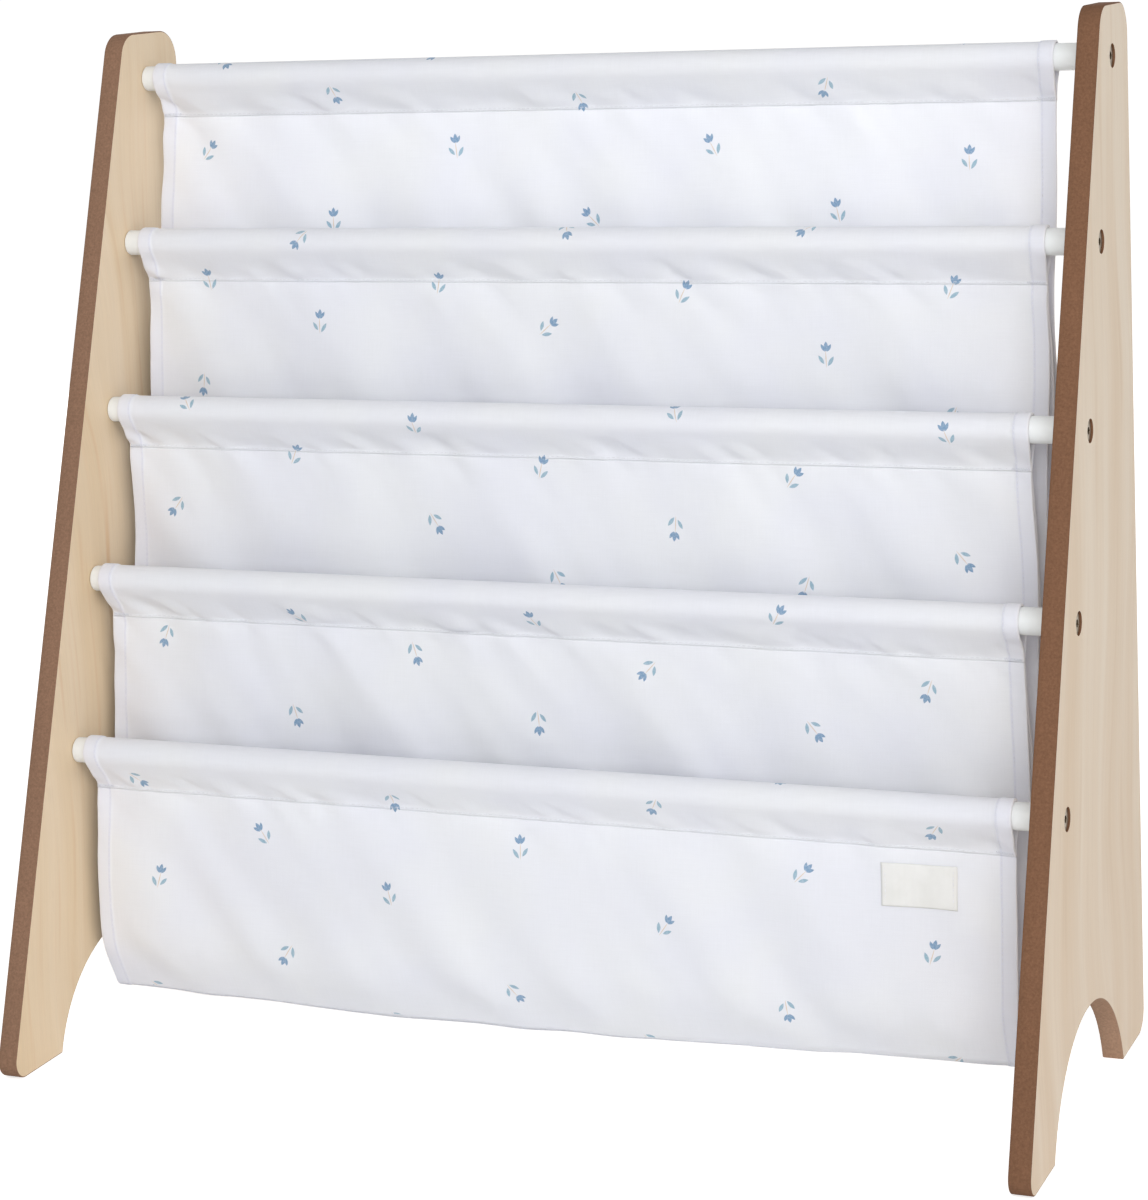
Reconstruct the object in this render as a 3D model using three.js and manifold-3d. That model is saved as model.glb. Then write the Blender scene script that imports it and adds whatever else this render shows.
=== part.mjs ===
// A low children's book rack: two raked side panels, five rods, and a cloth sling that hangs
// from the rods as four pockets. Millimetres. X runs from the left panel to the right one,
// Y from the front to the back, and Z up from the floor. The origin is on the floor, midway.

import * as THREE from 'three';
import { mergeVertices } from 'three/addons/utils/BufferGeometryUtils.js';
import Module from 'manifold-3d';

const wasm = await Module();
wasm.setup();

// Driving dimensions

const rack = {
  width: 610,
  height: 590,
  depth: 264, // along the floor, before the toes are rounded
};

const touchGap = 0.3; // left between pieces that touch or are sewn together
const cutOverrun = 2; // how far a cutter runs past what it cuts

const panel = {
  thickness: 12,
  topDepth: 62, // front to back along the top edge
  footLength: 53.5, // from the outer edge to the arch
  archRise: 58,
  topFrontRadius: 16,
  topRearRadius: 18,
  toeRadius: 10,
  heelRadius: 13,
  easedEdge: 0.5,
};

const rod = {
  diameter: 15,
  topDrop: 28, // from the panel's top to the highest rod's centre
  pitch: 97, // height from one rod to the next
  setback: 34.5, // from the panel's front edge to the rod's centre, level
  endChamfer: 0.8,
};

const bolt = {
  headDiameter: 12.5,
  headThickness: 2.6,
  headChamfer: 0.5,
  headSink: 1, // the head's face lies this far inside the panel's face
  shankDiameter: 6,
  shankLength: 32,
  tipChamfer: 1,
  socketAcross: 4, // across the hexagon's flats
  socketDepth: 1.9,
  headClearance: 0.35,
  shankClearance: 0.4,
};

const insert = {
  diameter: 9.4,
  length: 16,
  wallClearance: 0.3, // round the insert, in the rod's bore
  threadClearance: 0.3, // round the bolt's shank, in the insert
  waistLength: 5,
  waistDepth: 0.5,
  recess: 1, // the insert starts this far inside the rod's end
  boreRunout: 3, // the rod's bore goes this much deeper than the bolt's tip
};

const cloth = {
  thickness: 1,
  leftGap: 6, // bare rod at the left
  rightGap: 17.5, // bare rod at the right
  rodClearance: 0.35,
  seamDrop: 24, // from a rod's centre down to its sleeve's seam
  seamSetback: 6, // the seam hangs this far behind the rod's centre
  seamHeight: 2.4, // the height that is sewn shut
};

const pocket = {
  drops: [157, 155, 153.5, 148], // from each front rod's centre down to the fold's ends
  foldTilts: [0, 0, 0, 4.5], // how much higher each fold's right end hangs than its left
  foldSag: 4.2,
  shoulderWidths: [8, 5.6], // from the fold out to a wall, a little above the fold
  hipWidths: [12.3, 1.4], // the same for the lowest front wall, which slants in to a sharp fold
  waveHeight: 1.4, // the walls' soft waves, from the mean
  backBows: [-7, -1, 1.5, 5], // each back wall's bow to the rear
  frontBows: [-1, -1, -1, -8], // each front wall's, to the rear
};

const tag = { width: 42, height: 24, thickness: 0.6, seamDrop: 8, rightInset: 32 };

// Counts and shares

const rodCount = 5;
const pocketCount = rodCount - 1;
const archSteps = 36;
const cornerSteps = 9;
const roundSides = 20;
const innerSides = 12;
const socketSides = 6;
const sleeveSteps = 16;
const pocketColumns = 12;
const stepsPerSpan = 3;
const tagSteps = 3;
const waveCount = 2.5;
const wavePhases = [0.2, 1.7, 3.1, 4.4]; // radians, so that no two pockets wave alike
const bowHeightShare = 0.5; // where on a wall its bow is widest
const shoulderShares = [0.86, 0.97]; // down a wall, towards the fold
const hipShares = [0.75, 0.97]; // down the lowest front wall

// Places that follow from the dimensions

const innerHalf = rack.width / 2 - panel.thickness;
const rake = (rack.depth - panel.topDepth) / rack.height;
const toeTrim = panel.toeRadius * (rake + Math.hypot(1, rake) - 1); // what the toe's round takes off
const clothLeft = -innerHalf + cloth.leftGap;
const clothRight = innerHalf - cloth.rightGap;
const clothWidth = clothRight - clothLeft;
const sleeveInner = rod.diameter / 2 + cloth.rodClearance;
const sleeveOuter = sleeveInner + cloth.thickness;

function frontEdge(z) {
  return -rack.depth / 2 + rake * z;
}

function rodCentre(index) {
  const z = rack.height - rod.topDrop - index * rod.pitch;
  return new THREE.Vector2(frontEdge(z) + rod.setback, z);
}

function seamPoint(index) {
  const centre = rodCentre(index);
  return new THREE.Vector2(centre.x + cloth.seamSetback, centre.y - cloth.seamDrop);
}

// Finishes

const finishes = {
  panelBoard: { color: 0xdecbb0, roughness: 0.55, metalness: 0 },
  paintedRod: { color: 0xebedeb, roughness: 0.4, metalness: 0 },
  bronzeBolt: { color: 0xa08a6c, roughness: 0.35, metalness: 0.9 },
  zincInsert: { color: 0xa9abad, roughness: 0.45, metalness: 0.9 },
  slingCloth: { color: 0xe7e9f3, roughness: 0.9, metalness: 0 },
  tagCloth: { color: 0xefeee8, roughness: 0.85, metalness: 0 },
};

function piece(name, geometry, finish) {
  const mesh = new THREE.Mesh(geometry, new THREE.MeshStandardMaterial(finish));
  mesh.name = name;
  return mesh;
}

// Solids

function toManifold(geometry) {
  const bare = geometry.clone();
  bare.deleteAttribute('normal');
  bare.deleteAttribute('uv');
  const welded = mergeVertices(bare);
  return new wasm.Manifold(new wasm.Mesh({
    numProp: 3,
    vertProperties: welded.attributes.position.array,
    triVerts: new Uint32Array(welded.index.array),
  }));
}

function toGeometry(manifold) {
  const mesh = manifold.getMesh();
  const geometry = new THREE.BufferGeometry();
  geometry.setAttribute('position', new THREE.BufferAttribute(mesh.vertProperties, 3));
  geometry.setIndex(new THREE.BufferAttribute(mesh.triVerts, 1));
  geometry.computeVertexNormals();
  return geometry;
}

function cutAway(body, cutters) {
  let solid = toManifold(body);
  for (const cutter of cutters) solid = solid.subtract(toManifold(cutter));
  return toGeometry(solid);
}

// A turned solid about its own Y axis, from [radius, height] steps that start and end on the axis
function turned(profile, sides) {
  return new THREE.LatheGeometry(profile.map(([r, y]) => new THREE.Vector2(r, y)), sides);
}

// A side view drawn as (Y, Z), pulled out along X
const acrossTheRack = new THREE.Quaternion().setFromRotationMatrix(new THREE.Matrix4().makeBasis(
  new THREE.Vector3(0, 1, 0),
  new THREE.Vector3(0, 0, 1),
  new THREE.Vector3(1, 0, 0),
));

// Side panels

function arcPoints(centre, radius, from, to, steps) {
  const points = [];
  for (let i = 0; i <= steps; i++) {
    const angle = from + ((to - from) * i) / steps;
    points.push(new THREE.Vector2(Math.cos(angle), Math.sin(angle)).multiplyScalar(radius).add(centre));
  }
  return points;
}

// The round that replaces a corner of a straight-sided outline drawn anticlockwise
function roundedCorner(before, corner, after, radius) {
  const arriving = corner.clone().sub(before).normalize();
  const leaving = after.clone().sub(corner).normalize();
  const turn = Math.atan2(arriving.cross(leaving), arriving.dot(leaving));
  const tangent = radius * Math.tan(turn / 2);
  const inward = new THREE.Vector2(-arriving.y, arriving.x);
  const centre = corner.clone().addScaledVector(arriving, -tangent).addScaledVector(inward, radius);
  const from = Math.atan2(-inward.y, -inward.x);
  return arcPoints(centre, radius, from, from + turn, cornerSteps);
}

function panelOutline() {
  const half = rack.depth / 2;
  const archHalf = half - panel.footLength;
  const archRadius = (archHalf ** 2 + panel.archRise ** 2) / (2 * panel.archRise);
  const archCentre = new THREE.Vector2(0, panel.archRise - archRadius);
  const archAngle = Math.atan2(-archCentre.y, archHalf);
  const archFront = new THREE.Vector2(-archHalf, 0);
  const archRear = new THREE.Vector2(archHalf, 0);
  const heel = new THREE.Vector2(half, 0);
  const topRear = new THREE.Vector2(half, rack.height);
  const topFront = new THREE.Vector2(half - panel.topDepth, rack.height);
  const toe = new THREE.Vector2(-half, 0);
  return [
    ...roundedCorner(archRear, heel, topRear, panel.heelRadius),
    ...roundedCorner(heel, topRear, topFront, panel.topRearRadius),
    ...roundedCorner(topRear, topFront, toe, panel.topFrontRadius),
    ...roundedCorner(topFront, toe, archFront, panel.toeRadius),
    ...arcPoints(archCentre, archRadius, Math.PI - archAngle, archAngle, archSteps),
  ];
}

// The stepped drill for one bolt, along +X from inside the panel to past its outer face
function boltHoleCutter(index) {
  const shankHole = bolt.shankDiameter / 2 + bolt.shankClearance;
  const headHole = bolt.headDiameter / 2 + bolt.headClearance;
  const headFloor = panel.thickness - bolt.headSink - bolt.headThickness - touchGap;
  const cutter = turned([
    [0, -cutOverrun],
    [shankHole, -cutOverrun],
    [shankHole, headFloor],
    [headHole, headFloor],
    [headHole, panel.thickness + cutOverrun],
    [0, panel.thickness + cutOverrun],
  ], roundSides);
  cutter.rotateX(Math.PI / 2);
  const centre = rodCentre(index);
  cutter.translate(centre.x, centre.y, 0);
  return cutter;
}

// The right panel, drawn with its inner face at zero
function rightPanelGeometry() {
  const board = new THREE.ExtrudeGeometry(new THREE.Shape(panelOutline()), {
    depth: panel.thickness - 2 * panel.easedEdge,
    bevelThickness: panel.easedEdge,
    bevelSize: panel.easedEdge,
    bevelOffset: -panel.easedEdge,
    bevelSegments: 1,
  });
  board.translate(0, 0, panel.easedEdge);
  const cutters = [];
  for (let i = 0; i < rodCount; i++) cutters.push(boltHoleCutter(i));
  return cutAway(board, cutters);
}

// The same board seen in a mirror, with its faces turned back outward
function mirrored(geometry) {
  const copy = geometry.clone();
  copy.scale(1, 1, -1);
  const order = copy.index.array;
  for (let i = 0; i < order.length; i += 3) [order[i], order[i + 1]] = [order[i + 1], order[i]];
  copy.computeVertexNormals();
  return copy;
}

function sidePanels() {
  const group = new THREE.Group();
  const geometry = rightPanelGeometry();
  const right = piece('right_side_panel', geometry, finishes.panelBoard);
  right.position.x = innerHalf;
  const left = piece('left_side_panel', mirrored(geometry), finishes.panelBoard);
  left.position.x = -innerHalf;
  for (const board of [left, right]) board.quaternion.copy(acrossTheRack);
  group.add(left, right);
  return group;
}

// Rods, with a blind bore in each end

const boltUnderHead = rack.width / 2 - bolt.headSink - bolt.headThickness;
const boltTip = boltUnderHead - bolt.shankLength;
const rodHalf = innerHalf - touchGap;

function rodGeometry() {
  const radius = rod.diameter / 2;
  const bore = insert.diameter / 2 + insert.wallClearance;
  const boreEnd = boltTip - insert.boreRunout;
  return turned([
    [0, -boreEnd],
    [bore, -boreEnd],
    [bore, -rodHalf],
    [radius - rod.endChamfer, -rodHalf],
    [radius, -rodHalf + rod.endChamfer],
    [radius, rodHalf - rod.endChamfer],
    [radius - rod.endChamfer, rodHalf],
    [bore, rodHalf],
    [bore, boreEnd],
    [0, boreEnd],
  ], roundSides);
}

// Threaded insert: a sleeve with a waist that grips the rod's bore
function insertGeometry() {
  const outer = insert.diameter / 2;
  const inner = bolt.shankDiameter / 2 + insert.threadClearance;
  const half = insert.length / 2;
  const waist = insert.waistLength / 2;
  return turned([
    [inner, -half],
    [outer, -half],
    [outer, -waist],
    [outer - insert.waistDepth, -waist + insert.waistDepth],
    [outer - insert.waistDepth, waist - insert.waistDepth],
    [outer, waist],
    [outer, half],
    [inner, half],
    [inner, -half],
  ], innerSides);
}

// Flat-headed bolt with its head's face at zero and its shank along -Y
function boltGeometry() {
  const head = bolt.headDiameter / 2;
  const shank = bolt.shankDiameter / 2;
  const tip = -bolt.headThickness - bolt.shankLength;
  const body = turned([
    [0, tip],
    [shank - bolt.tipChamfer, tip],
    [shank, tip + bolt.tipChamfer],
    [shank, -bolt.headThickness],
    [head, -bolt.headThickness],
    [head, -bolt.headChamfer],
    [head - bolt.headChamfer, 0],
    [0, 0],
  ], roundSides);
  const socketRadius = bolt.socketAcross / Math.sqrt(3);
  const socketHeight = bolt.socketDepth + cutOverrun;
  const socket = new THREE.CylinderGeometry(socketRadius, socketRadius, socketHeight, socketSides);
  socket.translate(0, socketHeight / 2 - bolt.socketDepth, 0);
  return cutAway(body, [socket]);
}

function rodsAndFixings() {
  const group = new THREE.Group();
  const shapes = { rod: rodGeometry(), insert: insertGeometry(), bolt: boltGeometry() };
  const headFace = rack.width / 2 - bolt.headSink;
  const insertMiddle = rodHalf - insert.recess - insert.length / 2;
  for (let i = 0; i < rodCount; i++) {
    const level = new THREE.Group();
    const centre = rodCentre(i);
    level.position.set(0, centre.x, centre.y);
    const bar = piece(`rod_${i + 1}`, shapes.rod, finishes.paintedRod);
    bar.rotation.z = -Math.PI / 2;
    level.add(bar);
    for (const [side, sign] of [['left', -1], ['right', 1]]) {
      const screw = piece(`bolt_${side}_${i + 1}`, shapes.bolt, finishes.bronzeBolt);
      screw.position.x = sign * headFace;
      const socket = piece(`insert_${side}_${i + 1}`, shapes.insert, finishes.zincInsert);
      socket.position.x = sign * insertMiddle;
      for (const part of [screw, socket]) part.rotation.z = (-sign * Math.PI) / 2;
      level.add(screw, socket);
    }
    group.add(level);
  }
  return group;
}

// Sleeves: the tunnels sewn in the cloth, one round each rod

// The angle at which a line from a point touches a circle about zero, on the side that sign gives
function tangentAngle(point, radius, sign) {
  return Math.atan2(point.y, point.x) + sign * Math.acos(radius / point.length());
}

// Over the rod from its back to its front, then down to the seam between the two low points
function sleeveLoop(radius, lowBack, lowFront) {
  const from = tangentAngle(lowBack, radius, 1);
  const to = tangentAngle(lowFront, radius, -1);
  const sweep = THREE.MathUtils.euclideanModulo(to - from, 2 * Math.PI);
  return arcPoints(new THREE.Vector2(0, 0), radius, from, from + sweep, sleeveSteps);
}

function sleeveGeometry() {
  const low = new THREE.Vector2(cloth.seamSetback, -cloth.seamDrop);
  const lowBack = new THREE.Vector2(low.x + cloth.thickness, low.y);
  const lowFront = new THREE.Vector2(low.x - cloth.thickness, low.y);
  const sewnShut = new THREE.Vector2(low.x, low.y + cloth.seamHeight);
  const outline = new THREE.Shape([...sleeveLoop(sleeveOuter, lowBack, lowFront), lowFront, lowBack]);
  outline.holes.push(new THREE.Path([...sleeveLoop(sleeveInner, sewnShut, sewnShut), sewnShut]));
  return new THREE.ExtrudeGeometry(outline, { depth: clothWidth, bevelEnabled: false });
}

function sleeves() {
  const group = new THREE.Group();
  const geometry = sleeveGeometry();
  for (let i = 0; i < rodCount; i++) {
    const sleeve = piece(`sleeve_${i + 1}`, geometry, finishes.slingCloth);
    const centre = rodCentre(i);
    sleeve.position.set(clothLeft, centre.x, centre.y);
    sleeve.quaternion.copy(acrossTheRack);
    group.add(sleeve);
  }
  return group;
}

// Pockets: each hangs from one rod's seam, folds, and rises to the next rod's seam

// A pocket's section at a share of the cloth's width, from its back seam round to its front seam
function pocketSection(index, share) {
  const hang = cloth.thickness / 2 + touchGap;
  const backTop = seamPoint(index).sub(new THREE.Vector2(hang, touchGap));
  const frontTop = seamPoint(index + 1).add(new THREE.Vector2(hang, -touchGap));
  const angle = 2 * Math.PI * waveCount * share + wavePhases[index];
  const wave = pocket.waveHeight * Math.sin(angle);
  const tilt = pocket.foldTilts[index] * (share - 1 / 2);
  const sag = pocket.foldSag * Math.sin(Math.PI * share);
  const fold = new THREE.Vector2(
    (rodCentre(index).x + rodCentre(index + 1).x) / 2,
    rodCentre(index + 1).y - pocket.drops[index] + tilt - sag,
  );
  const wall = (top, side, bow, lowShares, lowWidths) => {
    const middle = top.clone().lerp(fold, bowHeightShare);
    middle.x += bow + wave;
    const low = lowShares.map((down, step) => {
      const point = top.clone().lerp(fold, down);
      point.x = fold.x + side * lowWidths[step] + (wave + bow) * (1 - down);
      return point;
    });
    return [middle, ...low];
  };
  const shoulder = [shoulderShares, pocket.shoulderWidths];
  const hip = [hipShares, pocket.hipWidths];
  const lowest = index === pocketCount - 1;
  const back = wall(backTop, 1, pocket.backBows[index], ...shoulder);
  const front = wall(frontTop, -1, pocket.frontBows[index], ...(lowest ? hip : shoulder));
  return new THREE.SplineCurve([backTop, ...back, fold, ...front.reverse(), frontTop]);
}

// A closed sheet of even thickness about its sections, one section to a column across X
function sheetGeometry(sections, places, thickness) {
  const positions = [];
  const rows = sections[0].length;
  for (const side of [1, -1]) {
    sections.forEach((section, column) => {
      section.forEach((point, row) => {
        const along = section[Math.min(row + 1, rows - 1)].clone().sub(section[Math.max(row - 1, 0)]);
        const off = new THREE.Vector2(-along.y, along.x).setLength((side * thickness) / 2);
        positions.push(places[column], point.x + off.x, point.y + off.y);
      });
    });
  }
  const columns = sections.length;
  const at = (side, column, row) => (side * columns + column) * rows + row;
  const faces = [];
  const quad = (a, b, c, d) => faces.push(a, b, c, a, c, d);
  for (let c = 0; c < columns - 1; c++) {
    for (let r = 0; r < rows - 1; r++) {
      quad(at(0, c, r), at(0, c + 1, r), at(0, c + 1, r + 1), at(0, c, r + 1));
      quad(at(1, c, r), at(1, c, r + 1), at(1, c + 1, r + 1), at(1, c + 1, r));
    }
    quad(at(0, c, 0), at(1, c, 0), at(1, c + 1, 0), at(0, c + 1, 0));
    quad(at(0, c, rows - 1), at(0, c + 1, rows - 1), at(1, c + 1, rows - 1), at(1, c, rows - 1));
  }
  for (let r = 0; r < rows - 1; r++) {
    quad(at(0, 0, r), at(0, 0, r + 1), at(1, 0, r + 1), at(1, 0, r));
    quad(at(0, columns - 1, r), at(1, columns - 1, r), at(1, columns - 1, r + 1), at(0, columns - 1, r + 1));
  }
  const geometry = new THREE.BufferGeometry();
  geometry.setAttribute('position', new THREE.Float32BufferAttribute(positions, 3));
  geometry.setIndex(faces);
  geometry.computeVertexNormals();
  return geometry;
}

function pocketGeometry(index) {
  const sections = [];
  const places = [];
  for (let c = 0; c <= pocketColumns; c++) {
    const share = c / pocketColumns;
    const curve = pocketSection(index, share);
    sections.push(curve.getPoints((curve.points.length - 1) * stepsPerSpan));
    places.push(clothWidth * share);
  }
  return sheetGeometry(sections, places, cloth.thickness);
}

function pockets() {
  const group = new THREE.Group();
  for (let i = 0; i < pocketCount; i++) {
    group.add(piece(`pocket_${i + 1}`, pocketGeometry(i), finishes.slingCloth));
  }
  group.position.x = clothLeft;
  return group;
}

// The small blank tag, sewn flat on the lowest pocket's front

function sewnTag() {
  const left = clothWidth - tag.rightInset - tag.width;
  const forward = cloth.thickness / 2 + touchGap + tag.thickness / 2;
  const sections = [];
  const places = [];
  for (let c = 0; c <= tagSteps; c++) {
    const place = left + (tag.width * c) / tagSteps;
    const curve = pocketSection(pocketCount - 1, place / clothWidth);
    const length = curve.getLength();
    const section = [];
    for (let r = 0; r <= tagSteps; r++) {
      const fromSeam = tag.seamDrop + tag.height * (1 - r / tagSteps);
      const share = 1 - fromSeam / length;
      const along = curve.getTangentAt(share);
      section.push(curve.getPointAt(share).add(new THREE.Vector2(-along.y, along.x).setLength(forward)));
    }
    sections.push(section);
    places.push(place);
  }
  const mesh = piece('sewn_tag', sheetGeometry(sections, places, tag.thickness), finishes.tagCloth);
  mesh.position.x = clothLeft;
  return mesh;
}

const bookRack = new THREE.Group();
bookRack.add(sidePanels(), rodsAndFixings(), sleeves(), pockets(), sewnTag());
bookRack.position.y = -toeTrim / 2; // midway between the toes and the backs of the panels

export default bookRack;
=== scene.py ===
import math

import bmesh
import bpy
import numpy as np
from mathutils import Matrix, Vector, noise


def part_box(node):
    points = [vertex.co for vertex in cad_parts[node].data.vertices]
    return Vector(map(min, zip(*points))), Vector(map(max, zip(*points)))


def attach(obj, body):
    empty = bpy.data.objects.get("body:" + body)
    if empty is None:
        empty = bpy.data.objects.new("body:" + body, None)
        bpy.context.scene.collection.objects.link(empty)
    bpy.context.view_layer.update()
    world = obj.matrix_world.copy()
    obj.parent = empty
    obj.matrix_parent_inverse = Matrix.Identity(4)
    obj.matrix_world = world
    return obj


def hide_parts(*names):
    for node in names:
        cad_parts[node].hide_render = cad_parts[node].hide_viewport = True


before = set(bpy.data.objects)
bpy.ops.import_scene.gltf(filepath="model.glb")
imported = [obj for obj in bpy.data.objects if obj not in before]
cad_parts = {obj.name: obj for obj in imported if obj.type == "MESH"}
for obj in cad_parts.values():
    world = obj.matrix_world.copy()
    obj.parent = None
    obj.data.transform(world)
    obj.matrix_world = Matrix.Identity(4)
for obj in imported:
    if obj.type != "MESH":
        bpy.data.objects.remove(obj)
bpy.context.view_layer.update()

scene = bpy.context.scene
scene.view_settings.view_transform = "Standard"
print("frame loaded:", len(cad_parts), "nodes")


# Camera: stands low, in front and to the right, with a long lens and a little downward shift

cameraSetup = {
    "place": (0.6977, -1.5985, 0.6573),
    "yaw": 22.99,      # degrees to the left of straight on
    "pitch": 9.32,     # degrees down
    "roll": -2.64,
    "lens": 94.75,     # mm, for the sensor below, along the picture's height
    "sensor": 36,
    "shiftY": -0.15,
    "clipStart": 0.05,
}


def addCamera(setup):
    data = bpy.data.cameras.new("viewCamera")
    data.sensor_width = setup["sensor"]
    data.lens = setup["lens"]
    data.shift_y = setup["shiftY"]
    data.clip_start = setup["clipStart"]
    camera = bpy.data.objects.new("viewCamera", data)
    scene.collection.objects.link(camera)
    turn = Matrix.Rotation(math.radians(setup["yaw"]), 4, "Z")
    tip = Matrix.Rotation(math.radians(90 - setup["pitch"]), 4, "X")
    lean = Matrix.Rotation(math.radians(setup["roll"]), 4, "Z")
    camera.matrix_world = Matrix.Translation(setup["place"]) @ turn @ tip @ lean
    scene.camera = camera


addCamera(cameraSetup)


# Node helpers. In the finishes below, each noise is given as: features in a metre, stretch along x, y and
# z, detail, roughness and distortion. A span is the part of a noise's values over which its colour comes
# in, and a relief is a bump's height in metres and its strength

even = (1, 1, 1)
mostValues = (0.3, 0.7)        # nearly all of a noise's values lie between these


def srgb(red, green, blue):
    # a colour as a paint program shows it, 0 to 255, turned into linear light
    channels = [c / 255 for c in (red, green, blue)]
    linear = [c / 12.92 if c <= 0.04045 else ((c + 0.055) / 1.055) ** 2.4 for c in channels]
    return (*linear, 1.0)


def addNode(tree, kind, inputs=None, **settings):
    made = tree.nodes.new("ShaderNode" + kind)
    for name, value in settings.items():
        setattr(made, name, value)
    for name, value in (inputs or {}).items():
        if isinstance(value, bpy.types.NodeSocket):
            tree.links.new(value, made.inputs[name])
        else:
            made.inputs[name].default_value = value
    return made


def calc(tree, operation, *values):
    return addNode(tree, "Math", dict(enumerate(values)), operation=operation).outputs[0]


def vectorCalc(tree, operation, *values):
    return addNode(tree, "VectorMath", dict(enumerate(values)), operation=operation).outputs[0]


def remap(tree, value, low, high, toLow=0.0, toHigh=1.0):
    inputs = {0: value, 1: low, 2: high, 3: toLow, 4: toHigh}
    return addNode(tree, "MapRange", inputs).outputs[0]


def blendColours(tree, amount, first, second, mode="MIX"):
    made = addNode(tree, "Mix", {0: amount, 6: first, 7: second}, data_type="RGBA", blend_type=mode)
    return made.outputs[2]


def cloudy(tree, place, scale, stretch, detail, rough, distortion=0.0):
    # noise over a place in metres
    inputs = {
        "Vector": addNode(tree, "Mapping", {"Vector": place, "Scale": stretch}).outputs[0],
        "Scale": scale,
        "Detail": detail,
        "Roughness": rough,
        "Distortion": distortion,
    }
    return addNode(tree, "TexNoise", inputs).outputs["Fac"]


def bumpFrom(tree, height, distance, strength, below=None):
    inputs = {"Height": height, "Distance": distance, "Strength": strength}
    if below is not None:
        inputs["Normal"] = below
    return addNode(tree, "Bump", inputs).outputs[0]


def stained(tree, base, pattern, span, depth, colour):
    # a second colour laid over the base, up to depth, as the pattern's value crosses the span
    return blendColours(tree, remap(tree, pattern, *span, 0.0, depth), base, colour)


def shaded(tree, colour, tone):
    # a colour made darker or lighter by a tone of about 1
    grey = addNode(tree, "CombineColor", {0: tone, 1: tone, 2: tone}).outputs[0]
    return blendColours(tree, 1.0, colour, grey, "MULTIPLY")


def startMaterial(name, **fixed):
    # fixed holds the sockets that are the same all over the surface
    material = bpy.data.materials.new(name)
    material.use_nodes = True
    tree = material.node_tree
    shader = tree.nodes["Principled BSDF"]
    for socket, value in fixed.items():
        shader.inputs[socket.replace("_", " ")].default_value = value
    return material, tree, shader


def plug(tree, shader, **sockets):
    for socket, value in sockets.items():
        tree.links.new(value, shader.inputs[socket.replace("_", " ")])


def objectPlace(tree):
    return addNode(tree, "TexCoord").outputs["Object"]


# Mesh helpers

def makeObject(name, vertices, faces, materials, smooth=True):
    mesh = bpy.data.meshes.new(name)
    mesh.from_pydata([tuple(v) for v in vertices], [], [tuple(f) for f in faces])
    for material in materials:
        mesh.materials.append(material)
    mesh.polygons.foreach_set("use_smooth", [smooth] * len(mesh.polygons))
    mesh.update()
    made = bpy.data.objects.new(name, mesh)
    scene.collection.objects.link(made)
    return made


def sharpenOver(made, degrees):
    # smooth shading that breaks at edges sharper than this
    mesh = made.data
    work = bmesh.new()
    work.from_mesh(mesh)
    limit = math.radians(degrees)
    for edge in work.edges:
        edge.smooth = edge.is_manifold and edge.calc_face_angle(0) < limit
    work.to_mesh(mesh)
    work.free()


def turnedMesh(profile, sides):
    # a solid turned about X from (radius, x) steps that start and end on the axis
    vertices, faces, rings = [], [], []
    for radius, x in profile:
        if radius == 0:
            rings.append([len(vertices)])
            vertices.append((x, 0, 0))
            continue
        rings.append(list(range(len(vertices), len(vertices) + sides)))
        for i in range(sides):
            angle = 2 * math.pi * i / sides
            vertices.append((x, radius * math.cos(angle), radius * math.sin(angle)))
    for first, second in zip(rings, rings[1:]):
        for i in range(sides):
            j = (i + 1) % sides
            if len(first) == 1:
                faces.append((first[0], second[j], second[i]))
            elif len(second) == 1:
                faces.append((first[i], first[j], second[0]))
            else:
                faces.append((first[i], first[j], second[j], second[i]))
    return vertices, faces


def quarterRound(radius, steps):
    # how far in from its two flat sides a rounded edge lies, point by point
    angles = [math.pi / 2 * i / steps for i in range(steps + 1)]
    return [(radius * (1 - math.sin(a)), radius * (1 - math.cos(a))) for a in angles]


def evenPlaces(ends, length, step):
    # the given places at both ends of a length, and even steps of about this size between them
    inner = length - 2 * ends[-1]
    count = round(inner / step)
    middle = [ends[-1] + inner * i / count for i in range(1, count)]
    return np.array([*ends, *middle, *[length - end for end in reversed(ends)]])


def faceOutward(made):
    work = bmesh.new()
    work.from_mesh(made.data)
    bmesh.ops.recalc_face_normals(work, faces=work.faces)
    work.to_mesh(made.data)
    work.free()


def cutWith(made, cutter):
    tool = made.modifiers.new("cut", "BOOLEAN")
    tool.operation = "DIFFERENCE"
    tool.solver = "EXACT"
    tool.object = cutter
    bpy.context.view_layer.objects.active = made
    bpy.ops.object.modifier_apply(modifier=tool.name)
    bpy.data.objects.remove(cutter)


def settle(made, slot, *nodes):
    # every piece belongs to the one rigid body, and takes the place of its plain nodes
    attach(made, "root")
    if nodes:
        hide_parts(*nodes)
    return made


# Places that come from the frame

rodCount = 5
pocketCount = rodCount - 1


def rodCentre(index):
    low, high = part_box(f"rod_{index + 1}")
    return Vector(((low.y + high.y) / 2, (low.z + high.z) / 2))


rodCentres = [rodCentre(i) for i in range(rodCount)]
rodLow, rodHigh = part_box("rod_1")
rodRadius = (rodHigh.z - rodLow.z) / 2
boardLow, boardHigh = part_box("right_side_panel")
boltLow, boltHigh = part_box("bolt_right_1")
clothLow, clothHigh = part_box("sleeve_1")
rake = (rodCentres[0].x - rodCentres[-1].x) / (rodCentres[0].y - rodCentres[-1].y)


def atRod(index, vertices, sign=1):
    # what was turned about X, moved to a rod's line, and mirrored for the left side
    centre = rodCentres[index]
    return [(sign * x, y + centre.x, z + centre.y) for x, y, z in vertices]


# Side boards

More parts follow.
